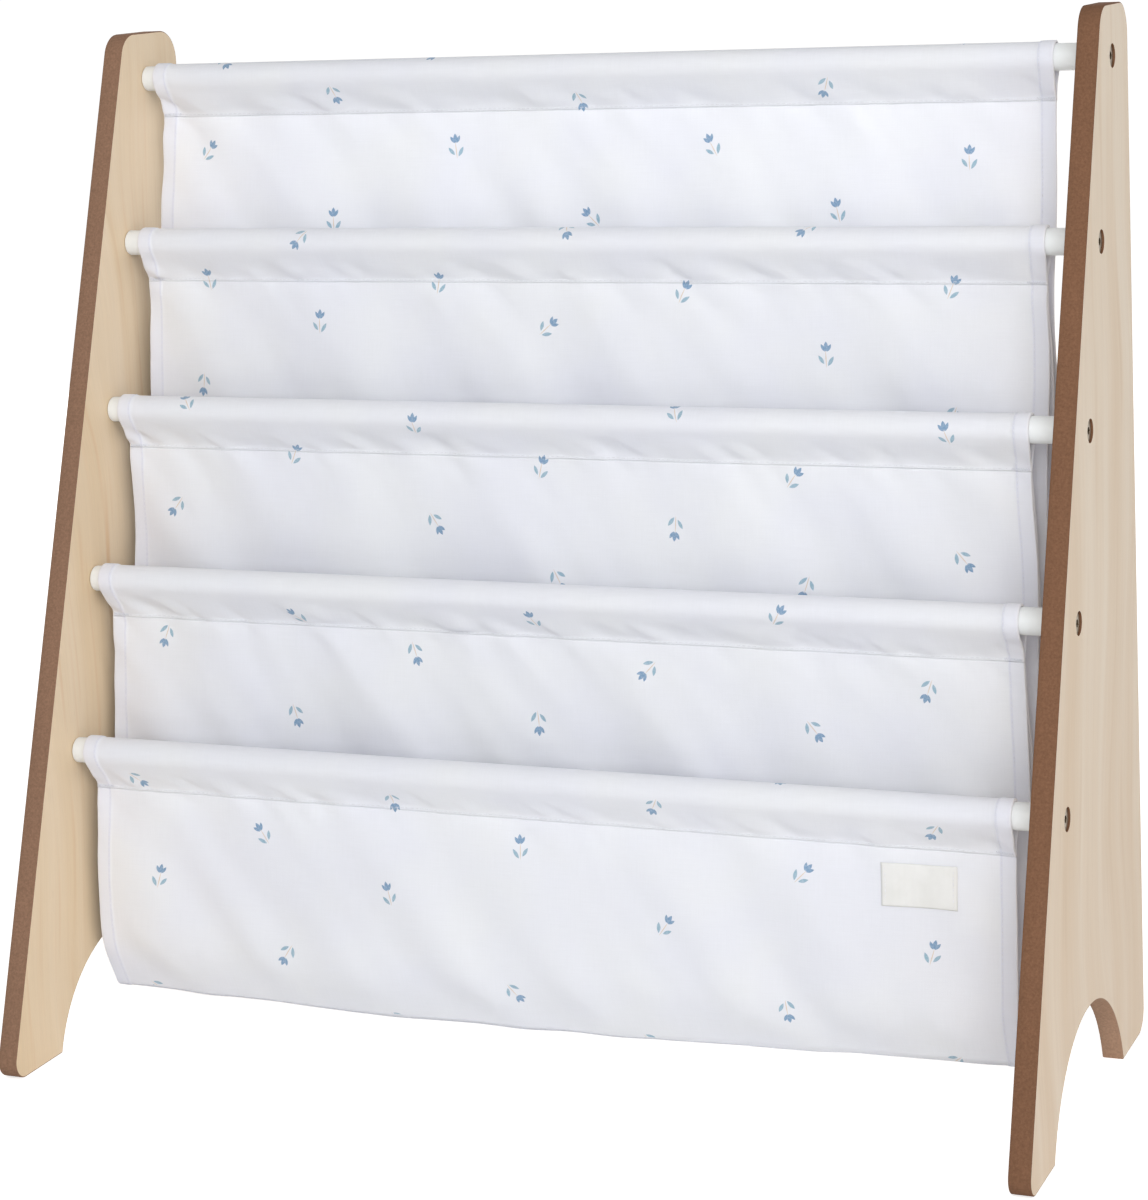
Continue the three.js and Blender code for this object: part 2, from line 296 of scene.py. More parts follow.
board = {
    "rodSetback": 0.0345,   # from the front edge to a rod's centre, level
    "footLength": 0.0535,
    "archRise": 0.058,
    "topFrontRadius": 0.016,
    "topRearRadius": 0.018,
    "toeRadius": 0.010,
    "heelRadius": 0.013,
    "easedEdge": 0.0006,
    "easedSteps": 3,
    "faceMargin": 0.0004,   # a flat strip round each face that keeps its shading flat
    "mitreLimit": 0.3,
    "cornerSteps": 28,
    "archSteps": 110,
    "holeSides": 64,
    "headClearance": 0.00035,
    "headFloorGap": 0.0003,
    "shankHole": 0.0034,
    "drillOverrun": 0.002,
    "sharpAngle": 34,
}

mapleFinish = {
    "ior": 1.45,
    "gloss": 0.35,
    # the right board is pinker; the left board's grain is painted more golden, with stronger orange streaks,
    # for the warm bounce light and shade on its inner face
    "right": {"pale": (226, 210, 189), "warm": (219, 197, 171), "streak": (205, 175, 140), "wisps": 0.34},
    "left": {"pale": (229, 208, 179), "warm": (222, 197, 162), "streak": (210, 163, 115), "wisps": 0.62},
    "pore": (176, 146, 112),
    # the faces turn warmer below this height and paler above it, at this rate
    "evenHeight": 0.25,
    "warmthFall": 0.5,
    "wander": (4, (1, 1, 0.6), 2, 0.5),
    "wanderWidth": 0.11,
    "figure": (1, (1, 40, 2.2), 3, 0.5, 0.3),
    "lines": (1, (1, 210, 5), 3, 0.55),
    "fibres": (1, (300, 1100, 22), 3, 0.6),
    "wisps": (1, (20, 95, 4.5), 2, 0.5),
    "pores": (1, (900, 2400, 120), 1, 0.5),
    "wispSpan": (0.6, 0.76),
    "lineSpan": (0.55, 0.75),
    "lineDepth": 0.16,
    "poreSpan": (0.67, 0.75),
    "poreDepth": 0.14,
    "fibreTones": (0.972, 1.02),
    "roughness": (0.44, 0.54),
    "fibreRelief": (0.00005, 0.45),
    "poreRelief": (0.00005, 0.3),
}

fibreboardFinish = {
    "ior": 1.4,
    "gloss": 0.18,
    # the bare right edge; the left one, painted paler for the brighter light over that side; and the arches,
    # painted paler still for the bounce light from the floor
    "right": (129, 93, 70),
    "left": (149, 115, 93),
    "arch": (181, 146, 121),
    "grainTone": 0.86,
    "paleTone": 1.12,
    "speckTone": 0.66,
    "felt": (750, even, 4, 0.6),
    "fine": (2200, even, 2, 0.6),
    "broad": (16, (1, 1, 0.4), 2, 0.5),
    "chips": (1, (700, 1300, 1300), 1, 0.5),
    "feltSpan": (0.32, 0.7),
    "fineSpan": (0.55, 0.75),
    "fineDepth": 0.3,
    "chipSpan": (0.67, 0.74),
    "chipDepth": 0.25,
    "coreShare": 0.55,         # of the thickness, between the skins
    "skinDepth": 0.35,
    "broadTones": (0.96, 1.05),
    "roughness": (0.82, 0.95),
    "feltRelief": (0.00012, 0.5),
    "fineRelief": (0.00005, 0.5),
}


def makeMapleFace(side):
    finish, look = mapleFinish, mapleFinish[side]
    material, tree, shader = startMaterial(
        side + "Maple", IOR=finish["ior"], Specular_IOR_Level=finish["gloss"])
    place = objectPlace(tree)
    # the grain runs up the board and wanders a little to either side
    wander = calc(tree, "MULTIPLY", cloudy(tree, place, *finish["wander"]), finish["wanderWidth"])
    bent = vectorCalc(tree, "ADD", place, addNode(tree, "CombineXYZ", {"Y": wander}).outputs[0])
    figure, lines, fibres, wisps = (
        cloudy(tree, bent, *finish[kind]) for kind in ("figure", "lines", "fibres", "wisps"))
    pores = cloudy(tree, place, *finish["pores"])
    height = addNode(tree, "SeparateXYZ", {0: place}).outputs[2]
    above = calc(tree, "SUBTRACT", height, finish["evenHeight"])
    warmth = calc(tree, "SUBTRACT", figure, calc(tree, "MULTIPLY", above, finish["warmthFall"]))
    streak = srgb(*look["streak"])
    base = stained(tree, srgb(*look["pale"]), warmth, mostValues, 1.0, srgb(*look["warm"]))
    base = stained(tree, base, wisps, finish["wispSpan"], look["wisps"], streak)
    base = stained(tree, base, lines, finish["lineSpan"], finish["lineDepth"], streak)
    base = shaded(tree, base, remap(tree, fibres, *mostValues, *finish["fibreTones"]))
    base = stained(tree, base, pores, finish["poreSpan"], finish["poreDepth"], srgb(*finish["pore"]))
    bump = bumpFrom(tree, fibres, *finish["fibreRelief"])
    bump = bumpFrom(tree, pores, *finish["poreRelief"], bump)
    roughness = remap(tree, figure, *mostValues, *finish["roughness"])
    plug(tree, shader, Base_Color=base, Roughness=roughness, Normal=bump)
    return material


def makeBareFibreboard(name, core):
    finish = fibreboardFinish
    material, tree, shader = startMaterial(name, IOR=finish["ior"], Specular_IOR_Level=finish["gloss"])
    grain, paler, speck = (
        srgb(*[c * finish[tone] for c in core]) for tone in ("grainTone", "paleTone", "speckTone"))
    place = objectPlace(tree)
    felt, fine, broad, chips = (
        cloudy(tree, place, *finish[kind]) for kind in ("felt", "fine", "broad", "chips"))
    base = stained(tree, srgb(*core), felt, finish["feltSpan"], 1.0, grain)
    base = stained(tree, base, fine, finish["fineSpan"], finish["fineDepth"], paler)
    base = stained(tree, base, chips, finish["chipSpan"], finish["chipDepth"], speck)
    # the pressed skins next to the faces are denser and darker than the core
    across = calc(tree, "ABSOLUTE", addNode(tree, "SeparateXYZ", {0: place}).outputs[0])
    middle = (boardLow.x + boardHigh.x) / 2
    fromMiddle = calc(tree, "ABSOLUTE", calc(tree, "SUBTRACT", across, middle))
    half = (boardHigh.x - boardLow.x) / 2
    skin = (half * finish["coreShare"], half)
    base = stained(tree, base, fromMiddle, skin, finish["skinDepth"], grain)
    base = shaded(tree, base, remap(tree, broad, *mostValues, *finish["broadTones"]))
    bump = bumpFrom(tree, felt, *finish["feltRelief"])
    bump = bumpFrom(tree, fine, *finish["fineRelief"], bump)
    roughness = remap(tree, felt, *mostValues, *finish["roughness"])
    plug(tree, shader, Base_Color=base, Roughness=roughness, Normal=bump)
    return material


def arcPoints(centre, radius, start, end, steps):
    angles = [start + (end - start) * i / steps for i in range(steps + 1)]
    return [centre + radius * Vector((math.cos(a), math.sin(a))) for a in angles]


def roundedCorner(before, corner, after, radius, steps):
    arriving = (corner - before).normalized()
    leaving = (after - corner).normalized()
    turn = math.atan2(arriving.x * leaving.y - arriving.y * leaving.x, arriving.dot(leaving))
    inward = Vector((-arriving.y, arriving.x))
    centre = corner - arriving * radius * math.tan(turn / 2) + inward * radius
    start = math.atan2(-inward.y, -inward.x)
    return arcPoints(centre, radius, start, start + turn, steps)


def boardOutline():
    # the side view in (y, z), anticlockwise from the heel
    def frontEdge(z):
        return rodCentres[0].x + rake * (z - rodCentres[0].y) - board["rodSetback"]

    rear, top = boardHigh.y, boardHigh.z
    toe = Vector((frontEdge(0), 0))
    heel = Vector((rear, 0))
    archFront = toe + Vector((board["footLength"], 0))
    archRear = heel - Vector((board["footLength"], 0))
    topRear = Vector((rear, top))
    topFront = Vector((frontEdge(top), top))
    half = (archRear.x - archFront.x) / 2
    rise = board["archRise"]
    radius = (half * half + rise * rise) / (2 * rise)
    centre = Vector(((archFront.x + archRear.x) / 2, rise - radius))
    side = math.atan2(-centre.y, half)
    steps = board["cornerSteps"]
    return [
        *roundedCorner(archRear, heel, topRear, board["heelRadius"], steps),
        *roundedCorner(heel, topRear, topFront, board["topRearRadius"], steps),
        *roundedCorner(topRear, topFront, toe, board["topFrontRadius"], steps),
        *roundedCorner(topFront, toe, archFront, board["toeRadius"], steps),
        *arcPoints(centre, radius, math.pi - side, side, board["archSteps"]),
    ]


def shrunk(outline, amount):
    # the outline moved inward by an even amount
    points = []
    count = len(outline)
    for i, point in enumerate(outline):
        arriving = (point - outline[i - 1]).normalized()
        leaving = (outline[(i + 1) % count] - point).normalized()
        inward = Vector((-arriving.y - leaving.y, arriving.x + leaving.x)).normalized()
        stretch = max(board["mitreLimit"], inward.dot(Vector((-leaving.y, leaving.x))))
        points.append(point + inward * amount / stretch)
    return points


def makeBoard(name, node, sign, materials):
    outline = boardOutline()
    inner, outer = boardLow.x, boardHigh.x
    eased, steps = board["easedEdge"], board["easedSteps"]
    rings = [(eased + board["faceMargin"], inner)]
    rings += [(inset, inner + inward) for inset, inward in quarterRound(eased, steps)]
    rings += [(inset, inner + outer - x) for inset, x in reversed(rings)]
    vertices, faces = [], []
    count = len(outline)
    for inset, x in rings:
        vertices += [(sign * x, p.x, p.y) for p in shrunk(outline, inset)]
    for r in range(len(rings) - 1):
        for i in range(count):
            j = (i + 1) % count
            faces.append((r * count + i, (r + 1) * count + i, (r + 1) * count + j, r * count + j))
    last = (len(rings) - 1) * count
    faces.append(tuple(range(count)))
    faces.append(tuple(last + i for i in reversed(range(count))))
    made = makeObject(name, vertices, faces, materials)
    # the two faces and the strips beside them are laminate, the rest bare, with the arch last in the outline
    archStart = count - board["archSteps"] - 1
    for i, polygon in enumerate(made.data.polygons):
        onFace = i < count or len(faces) - 2 - count <= i
        onArch = archStart <= i % count < count - 1
        polygon.material_index = 0 if onFace else 2 if onArch else 1
    faceOutward(made)
    cutWith(made, makeDrill(sign, materials))
    sharpenOver(made, board["sharpAngle"])
    return settle(made, "panel_board", node)


def makeDrill(sign, materials):
    # five stepped holes: a wide one for each bolt's head and a narrow one for its shank
    overrun = board["drillOverrun"]
    headRadius = (boltHigh.z - boltLow.z) / 2 + board["headClearance"]
    floorX = boltHigh.x - bolt["headThickness"] - board["headFloorGap"]
    profile = [
        (0, boardLow.x - overrun),
        (board["shankHole"], boardLow.x - overrun),
        (board["shankHole"], floorX),
        (headRadius, floorX),
        (headRadius, boardHigh.x + overrun),
        (0, boardHigh.x + overrun),
    ]
    vertices, faces = turnedMesh(profile, board["holeSides"])
    allVertices, allFaces = [], []
    for index in range(rodCount):
        start = len(allVertices)
        allVertices += atRod(index, vertices, sign)
        allFaces += [tuple(start + i for i in face) for face in faces]
    drill = makeObject("drill", allVertices, allFaces, materials)
    for polygon in drill.data.polygons:
        polygon.material_index = 1
    faceOutward(drill)
    return drill


# Bolts with flat heads and a hexagon socket

bolt = {
    "headThickness": 0.0026,
    "edgeRound": 0.0005,
    "edgeSteps": 4,
    "socketAcross": 0.004,
    "socketDepth": 0.0019,
    "socketCone": 0.0006,
    "socketSides": 6,
    "socketOverrun": 0.001,
    "shankRadius": 0.003,
    "tipChamfer": 0.001,
    "threadPitch": 0.001,
    "threadDepth": 0.00035,
    "crestShares": (0.4, 0.6),     # where a thread's flat crest begins and ends in its pitch
    "threadLength": 0.021,
    "sides": 64,
    "sharpAngle": 40,
}

bronzeFinish = {
    "colour": (156, 143, 122),
    "patina": (104, 91, 73),
    "stain": (420, even, 3, 0.6),
    "stainSpan": (0.42, 0.72),
    "stainDepth": 0.6,
    "scratches": (1, (2500, 2500, 300), 2, 0.5),
    "roughness": (0.24, 0.4),
    "relief": (0.00002, 0.4),
}


def makeBronze():
    finish = bronzeFinish
    material, tree, shader = startMaterial("bronzePlate", Metallic=1.0)
    place = objectPlace(tree)
    stain = cloudy(tree, place, *finish["stain"])
    scratches = cloudy(tree, place, *finish["scratches"])
    patina = srgb(*finish["patina"])
    base = stained(tree, srgb(*finish["colour"]), stain, finish["stainSpan"], finish["stainDepth"], patina)
    roughness = remap(tree, stain, *mostValues, *finish["roughness"])
    plug(tree, shader, Base_Color=base, Roughness=roughness,
         Normal=bumpFrom(tree, scratches, *finish["relief"]))
    return material


def makeBolt(side, sign, index, material):
    head = (boltHigh.z - boltLow.z) / 2
    faceX, tipX = boltHigh.x, boltLow.x
    underX = faceX - bolt["headThickness"]
    shank, depth, pitch, chamfer = (
        bolt[name] for name in ("shankRadius", "threadDepth", "threadPitch", "tipChamfer"))
    crestStart, crestEnd = bolt["crestShares"]
    x = tipX + chamfer
    profile = [(0, tipX), (shank - chamfer, tipX), (shank - depth, x)]
    while x < tipX + bolt["threadLength"]:
        profile += [(shank, x + pitch * crestStart), (shank, x + pitch * crestEnd)]
        x += pitch
        profile.append((shank - depth, x))
    profile += [(shank, x + pitch), (shank, underX), (head, underX)]
    edge = quarterRound(bolt["edgeRound"], bolt["edgeSteps"])
    profile += [(head - inward, faceX - below) for below, inward in edge]
    profile.append((0, faceX))

    def turnedPiece(name, shape, sides):
        vertices, faces = turnedMesh(shape, sides)
        piece = makeObject(name, atRod(index, vertices, sign), faces, [material])
        faceOutward(piece)
        return piece

    made = turnedPiece(f"bolt_{side}_{index + 1}_bronze", profile, bolt["sides"])
    corner = bolt["socketAcross"] / math.sqrt(3)
    floorX = faceX - bolt["socketDepth"]
    openX = faceX + bolt["socketOverrun"]
    socket = [(0, floorX - bolt["socketCone"]), (corner, floorX), (corner, openX), (0, openX)]
    cutWith(made, turnedPiece("socket", socket, bolt["socketSides"]))
    sharpenOver(made, bolt["sharpAngle"])
    return settle(made, "bolt_bronze", f"bolt_{side}_{index + 1}")


# Rods

rod = {
    "boreRadius": 0.005,
    "boreDepth": 0.0252,
    "endRound": 0.0008,
    "endSteps": 4,
    "lengthSteps": 24,
    "sides": 72,
    "sharpAngle": 35,
}

paintFinish = {
    "ior": 1.48,
    "coat": 0.12,
    "coatRoughness": 0.3,
    "colour": (238, 242, 244),
    "shade": (230, 235, 237),
    "mottle": (60, (0.4, 1, 1), 3, 0.5),
    "mottleSpan": (0.35, 0.7),
    "mottleDepth": 0.6,
    "grain": (1, (35, 900, 900), 3, 0.55),
    "spray": (700, even, 2, 0.5),
    "roughness": (0.36, 0.46),
    "grainRelief": (0.00005, 0.5),
    "sprayRelief": (0.00002, 0.5),
}


def makeRodPaint():
    finish = paintFinish
    material, tree, shader = startMaterial(
        "rodPaint", IOR=finish["ior"], Coat_Weight=finish["coat"], Coat_Roughness=finish["coatRoughness"])
    place = objectPlace(tree)
    mottle, grain, spray = (cloudy(tree, place, *finish[kind]) for kind in ("mottle", "grain", "spray"))
    shade = srgb(*finish["shade"])
    base = stained(tree, srgb(*finish["colour"]), mottle, finish["mottleSpan"], finish["mottleDepth"], shade)
    bump = bumpFrom(tree, grain, *finish["grainRelief"])
    bump = bumpFrom(tree, spray, *finish["sprayRelief"], bump)
    roughness = remap(tree, mottle, *mostValues, *finish["roughness"])
    plug(tree, shader, Base_Color=base, Roughness=roughness, Normal=bump)
    return material


def makeRod(index, material):
    half = rodHigh.x
    bore, depth, rounding = rod["boreRadius"], rod["boreDepth"], rod["endRound"]
    rim = [(rodRadius - down, half - back) for down, back in quarterRound(rounding, rod["endSteps"])]
    right = [(0, half - depth), (bore, half - depth), (bore, half), *rim]
    steps = rod["lengthSteps"]
    stations = [(rodRadius, half - rounding - (2 * half - 2 * rounding) * i / steps) for i in range(1, steps)]
    left = [(radius, -x) for radius, x in reversed(right)]
    vertices, faces = turnedMesh([*right, *stations, *left], rod["sides"])
    made = makeObject(f"rod_{index + 1}_painted", atRod(index, vertices), faces, [material])
    faceOutward(made)
    sharpenOver(made, rod["sharpAngle"])
    return settle(made, "white_paint", f"rod_{index + 1}")


zincFinish = {
    "bright": (196, 198, 200),
    "dull": (160, 163, 168),
    "bloom": (500, even, 3, 0.6),
    "bloomSpan": (0.35, 0.7),
    "roughness": (0.3, 0.5),
    "relief": (0.00003, 0.4),
}


def makeZinc():
    finish = zincFinish
    material, tree, shader = startMaterial("zincPlate", Metallic=1.0)
    bloom = cloudy(tree, objectPlace(tree), *finish["bloom"])
    base = stained(tree, srgb(*finish["bright"]), bloom, finish["bloomSpan"], 1.0, srgb(*finish["dull"]))
    roughness = remap(tree, bloom, *mostValues, *finish["roughness"])
    plug(tree, shader, Base_Color=base, Roughness=roughness, Normal=bumpFrom(tree, bloom, *finish["relief"]))
    return material


bothSides = (("left", -1), ("right", 1))
# the arches' paler fibreboard colour is painted bounce light from the floor, and the left edge's paler one
# painted light
archWithPaintedBounce = makeBareFibreboard("archWithPaintedBounce", fibreboardFinish["arch"])
for side, sign in bothSides:
    bareEdge = makeBareFibreboard(side + "Fibreboard", fibreboardFinish[side])
    makeBoard(side + "_board", side + "_side_panel", sign, [makeMapleFace(side), bareEdge, archWithPaintedBounce])
print("side boards cut")

bronze, rodPaint, zinc = makeBronze(), makeRodPaint(), makeZinc()
for i in range(rodCount):
    makeRod(i, rodPaint)
    for side, sign in bothSides:
        makeBolt(side, sign, i, bronze)
        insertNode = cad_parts[f"insert_{side}_{i + 1}"]
        insertNode.data.materials.clear()
        insertNode.data.materials.append(zinc)
print("rods, bolts and inserts in place")


# The sling: one long cloth, sewn into a sleeve round each rod and hanging as a pocket between them

sling = {
    "thickness": 0.0007,
    "rodClearance": 0.00035,
    "seamSetback": 0.006,      # the seam hangs this far behind the rod's centre
    "seamDrop": 0.024,
    "seamHeight": 0.0024,      # sewn shut over this height
    "foldDrops": (0.157, 0.155, 0.1535, 0.1472),    # from each front rod's centre down to the fold's ends
    "foldTilts": (0, 0, 0, 0.0061),                 # how much higher the right end of each fold hangs
    "foldSags": (0.0042, 0.0042, 0.0042, 0.0049),
    "waveHeight": 0.0014,
    "waveCount": 2.5,
    "wavePhases": (0.2, 1.7, 3.1, 4.4),
    "backBows": (-0.007, -0.001, 0.0015, 0.005),
    "frontBows": (-0.001, -0.001, -0.001, -0.008),
    "bowHeightShare": 0.5,
    # the way down to the fold, as a share, and the half width there: a rounded fold, and the front of the
    # lowest pocket, which slants in to a sharp one
    "shoulder": ((0.86, 0.008), (0.97, 0.0056)),
    "hip": ((0.75, 0.0123), (0.97, 0.0014)),
    # how far in from true the cloth's edges lie: each sleeve as a whole, more at a rod's top and at each
    # rod's seams, and then each pocket's walls behind and in front
    "leftSlips": (0, 0.0015, -0.0008, -0.002, 0),
    "rightSlips": (0.0009, -0.0007, 0.0018, 0.001, -0.0018),
    "leftRodDraw": 0.0025,
    "rightRodDraw": 0.0,
    "leftSeamDraws": (0.0011, 0.0011, 0.0016, 0.0030, 0.0022),
    "rightSeamDraws": (0.0020, 0.0024, 0.0023, 0.0007, 0.0015),
    "leftTrims": ((0, 0), (0.0004, 0.0004), (0.0015, 0.0015), (0.0012, 0.0006)),
    "rightTrims": ((0.0009, 0.0009), (0.0005, 0.0005), (-0.0011, -0.0011), (-0.0011, 0.0019)),
    "rodHoldShare": 0.3,       # of a sleeve's half length, from its top, where a seam doesn't draw it in
    "flareLength": 0.062,
    "hemWidth": 0.0095,
    "hemStitch": 0.0082,       # the hem's stitching, from the cloth's edge
    "hemRamp": 0.0009,
    "hemOutsideShare": 0.3,    # of a pocket's doubled hem, on its outer side; at the seams all of it is
    "hemOutsideFade": 0.02,
    "dipDepth": 0.00016,       # how deep and how wide the hem's stitching pulls the cloth in
    "dipWidth": 0.0006,
    "edgeRound": 0.0006,
    # the mesh: columns from each side edge and rows from each seam, and the steps between them
    "edgeColumns": (0, 0.00012, 0.0003, 0.0006, 0.0016, 0.004, 0.0066, 0.0076, 0.0082, 0.0088, 0.0095,
                    0.0104, 0.0125),
    "columnStep": 0.004,
    "seamRows": (0, 0.0012, 0.0026, 0.0045, 0.0068),
    "rowStep": 0.0038,
    "sewnSteps": 4,
    "sleeveRowStep": 0.0019,
    "arcSteps": 48,
    "sleevePoints": 300,
    "sleevePasses": 12,
    "spanSteps": 24,
    "pocketPasses": 6,
}

clothLeft, clothRight = clothLow.x, clothHigh.x
clothWidth = clothRight - clothLeft

# distances across the cloth, close together at the edges and hems
columns = evenPlaces(sling["edgeColumns"], clothWidth, sling["columnStep"])
hemColumns = [
    int(np.argmin(abs(columns - place))) for place in (sling["hemStitch"], clothWidth - sling["hemStitch"])]
edgeDistance = np.minimum(columns, clothWidth - columns)


def resampled(points, places):
    # points along a polyline at the given distances
    points = np.array(points)
    steps = np.hypot(*np.diff(points, axis=0).T)
    along = np.concatenate([[0], np.cumsum(steps)])
    return np.column_stack([np.interp(places, along, points[:, k]) for k in (0, 1)])


def lengthOf(points):
    return float(np.hypot(*np.diff(np.array(points), axis=0).T).sum())


def foldPlace(points):
    # how far along a pocket's section its lowest point lies
    lowest = int(np.argmin(np.array(points)[:, 1]))
    return lengthOf(points[:lowest + 1])


def relaxed(points, passes):
    # rounds off the corners of a closely sampled line, with its ends held
    points = np.array(points)
    for _ in range(passes):
        points[1:-1] = 0.5 * points[1:-1] + 0.25 * (points[:-2] + points[2:])
    return points


def splineThrough(points, stepsPerSpan):
    # the same curve as the frame's pocket sections follow
    line = []
    count = len(points)
    for i in range(count - 1):
        p0, p1, p2 = points[max(i - 1, 0)], points[i], points[i + 1]
        p3 = points[min(i + 2, count - 1)]
        v0, v1 = (p2 - p0) / 2, (p3 - p1) / 2
        for k in range(stepsPerSpan):
            t = k / stepsPerSpan
            cubic = (2 * p1 - 2 * p2 + v0 + v1) * t**3
            square = (-3 * p1 + 3 * p2 - 2 * v0 - v1) * t**2
            line.append(cubic + square + v0 * t + p1)
    line.append(points[-1])
    return line


def tangentAngle(point, radius, sign):
    return math.atan2(point.y, point.x) + sign * math.acos(radius / point.length)


def seamPoint(index, side):
    # side 1 is the layer behind, -1 the layer in front
    offset = Vector((sling["seamSetback"] + side * sling["thickness"] / 2, -sling["seamDrop"]))
    return rodCentres[index] + offset


def sleeveLine(index):
    # from the seam behind, over the rod, to the seam in front
    centre = rodCentres[index]
    radius = rodRadius + sling["rodClearance"] + sling["thickness"] / 2
    up = Vector((0, sling["seamHeight"]))
    behind, front = seamPoint(index, 1), seamPoint(index, -1)
    start = tangentAngle(behind + up - centre, radius, 1)
    end = tangentAngle(front + up - centre, radius, -1)
    sweep = (end - start) % (2 * math.pi)
    arc = arcPoints(centre, radius, start, start + sweep, sling["arcSteps"])
    line = [tuple(p) for p in (behind, behind + up, *arc, front + up, front)]
    fine = resampled(line, np.linspace(0, lengthOf(line), sling["sleevePoints"]))
    return relaxed(fine, sling["sleevePasses"])


def pocketLine(index, share):
    # the lowest pocket's front is the layer that goes up over the front of its rod
    lowest = index == pocketCount - 1
    backTop, frontTop = seamPoint(index, -1), seamPoint(index + 1, -1 if lowest else 1)
    angle = 2 * math.pi * sling["waveCount"] * share + sling["wavePhases"][index]
    wave = sling["waveHeight"] * math.sin(angle)
    tilt = sling["foldTilts"][index] * (share - 0.5)
    sag = sling["foldSags"][index] * math.sin(math.pi * share)
    foldY = (rodCentres[index].x + rodCentres[index + 1].x) / 2
    fold = Vector((foldY, rodCentres[index + 1].y - sling["foldDrops"][index] + tilt - sag))

    def wall(top, side, bow, low):
        middle = top.lerp(fold, sling["bowHeightShare"])
        middle.x += bow + wave
        points = [middle]
        for down, width in low:
            point = top.lerp(fold, down)
            point.x = fold.x + side * width + (wave + bow) * (1 - down)
            points.append(point)
        return points

    back = wall(backTop, 1, sling["backBows"][index], sling["shoulder"])
    front = wall(frontTop, -1, sling["frontBows"][index], sling["hip" if lowest else "shoulder"])
    line = splineThrough([backTop, *back, fold, *reversed(front), frontTop], sling["spanSteps"])
    return relaxed([tuple(p) for p in line], sling["pocketPasses"])


def eased(share):
    share = min(1.0, max(0.0, share))
    return share * share * (3 - 2 * share)


def sleeveEdges(index, share):
    # the cloth's two side edges on the way from the seam behind a rod to the one in front
    hold = sling["rodHoldShare"]
    seamward = eased((abs(2 * share - 1) - hold) / (1 - hold))
    ends = []
    for side in ("left", "right"):
        onRod, atSeam = sling[side + "RodDraw"], sling[side + "SeamDraws"][index]
        ends.append(sling[side + "Slips"][index] + onRod + (atSeam - onRod) * seamward)
    return clothLeft + ends[0], clothRight - ends[1]


def pocketEdges(index, share, length):
    # drawn in at both seams, and nearly straight between them
    fromSeam = min(share, 1 - share) * length
    seamward = 1 - eased(fromSeam / sling["flareLength"])
    ends = []
    for side in ("left", "right"):
        slips, draws, trims = (sling[side + kind] for kind in ("Slips", "SeamDraws", "Trims"))
        draw = draws[index if share < 0.5 else index + 1]
        trim = trims[index][0] + (trims[index][1] - trims[index][0]) * eased(2 * share - 0.5)
        slip = slips[index] + (slips[index + 1] - slips[index]) * share
        ends.append(slip + trim + (draw - trim) * seamward)
    return clothLeft + ends[0], clothRight - ends[1]


ripples = {
    # each set of creases is: lean in degrees, how far apart, how high, and a seed of its own. Seeds only pick
    # another stretch of the noise
    "creaseStretch": 4.5,      # how many times longer than wide
    "smallGatherAbove": (-42, 0.0070, 0.0024, 0),
    "smallGatherBelow": (-42, 0.0070, 0.0016, 0),
    "broadGather": (-33, 0.019, 0.0034, 9),
    "gatherRise": 0.019,       # a seam's gathers are gone this far above it, and gatherReach below it
    "gatherReach": 0.07,
    "gatherFade": 0.018,
    "heldShare": 0.4,          # what the stitches leave of a gather at the seam itself
    "heldHeight": 0.007,
    "slack": (0.12, 0.19, 0.0030),                  # broad waves: width, length, height
    "drag": (31, 0.038, 0.0065, 3),
    "fine": (38, 0.017, 0.0016, 11),
    "corner": (55, 0.018, 0.0015, 5),
    "cornerReach": 0.06,
    "cornerStart": 0.01,
    "edgeCurl": (0.045, 0.0016, 0.018),             # length, height, how far it reaches in
    "bodyPower": 0.6,
    "foldCalm": 0.8,
    "foldCalmHeight": 0.022,
    "seamSeed": 3.7,
    "pocketSeed": 5.3,
    "firstPocketSeed": 1.1,
    "edgeSeeds": (2.5, 7.5),
}


def creases(x, v, seed, lean, spacing, height, ownSeed):
    # soft parallel creases
    turn = math.radians(lean)
    across = x * math.cos(turn) + v * math.sin(turn)
    along = -x * math.sin(turn) + v * math.cos(turn)
    spot = Vector((across / spacing, along / (spacing * ripples["creaseStretch"]), seed + ownSeed))
    return noise.noise(spot) * height


def seamGathers(x, below, rodIndex):
    # short slanting folds, alike in all the layers of a seam; below is the way down from the seam
    if below > ripples["gatherReach"] or below < -ripples["gatherRise"]:
        return 0.0
    share = ripples["heldShare"]
    held = share + (1 - share) * min(1.0, abs(below) / ripples["heldHeight"])
    if below > 0:
        fade = math.exp(-below / ripples["gatherFade"])
    else:
        fade = math.cos(math.pi / 2 * below / ripples["gatherRise"])
    seed = rodIndex * ripples["seamSeed"]
    small = creases(x, below, seed, *ripples["smallGatherAbove" if below < 0 else "smallGatherBelow"])
    broad = creases(x, below, seed, *ripples["broadGather"])
    return held * fade * (small + broad)


def sleeveRipple(x, v, length, index):
    # the gathers reach up to where the cloth meets the rod, in front and behind
    if v > length / 2:
        return seamGathers(x, v - length, index)
    return -seamGathers(x, -v, index)


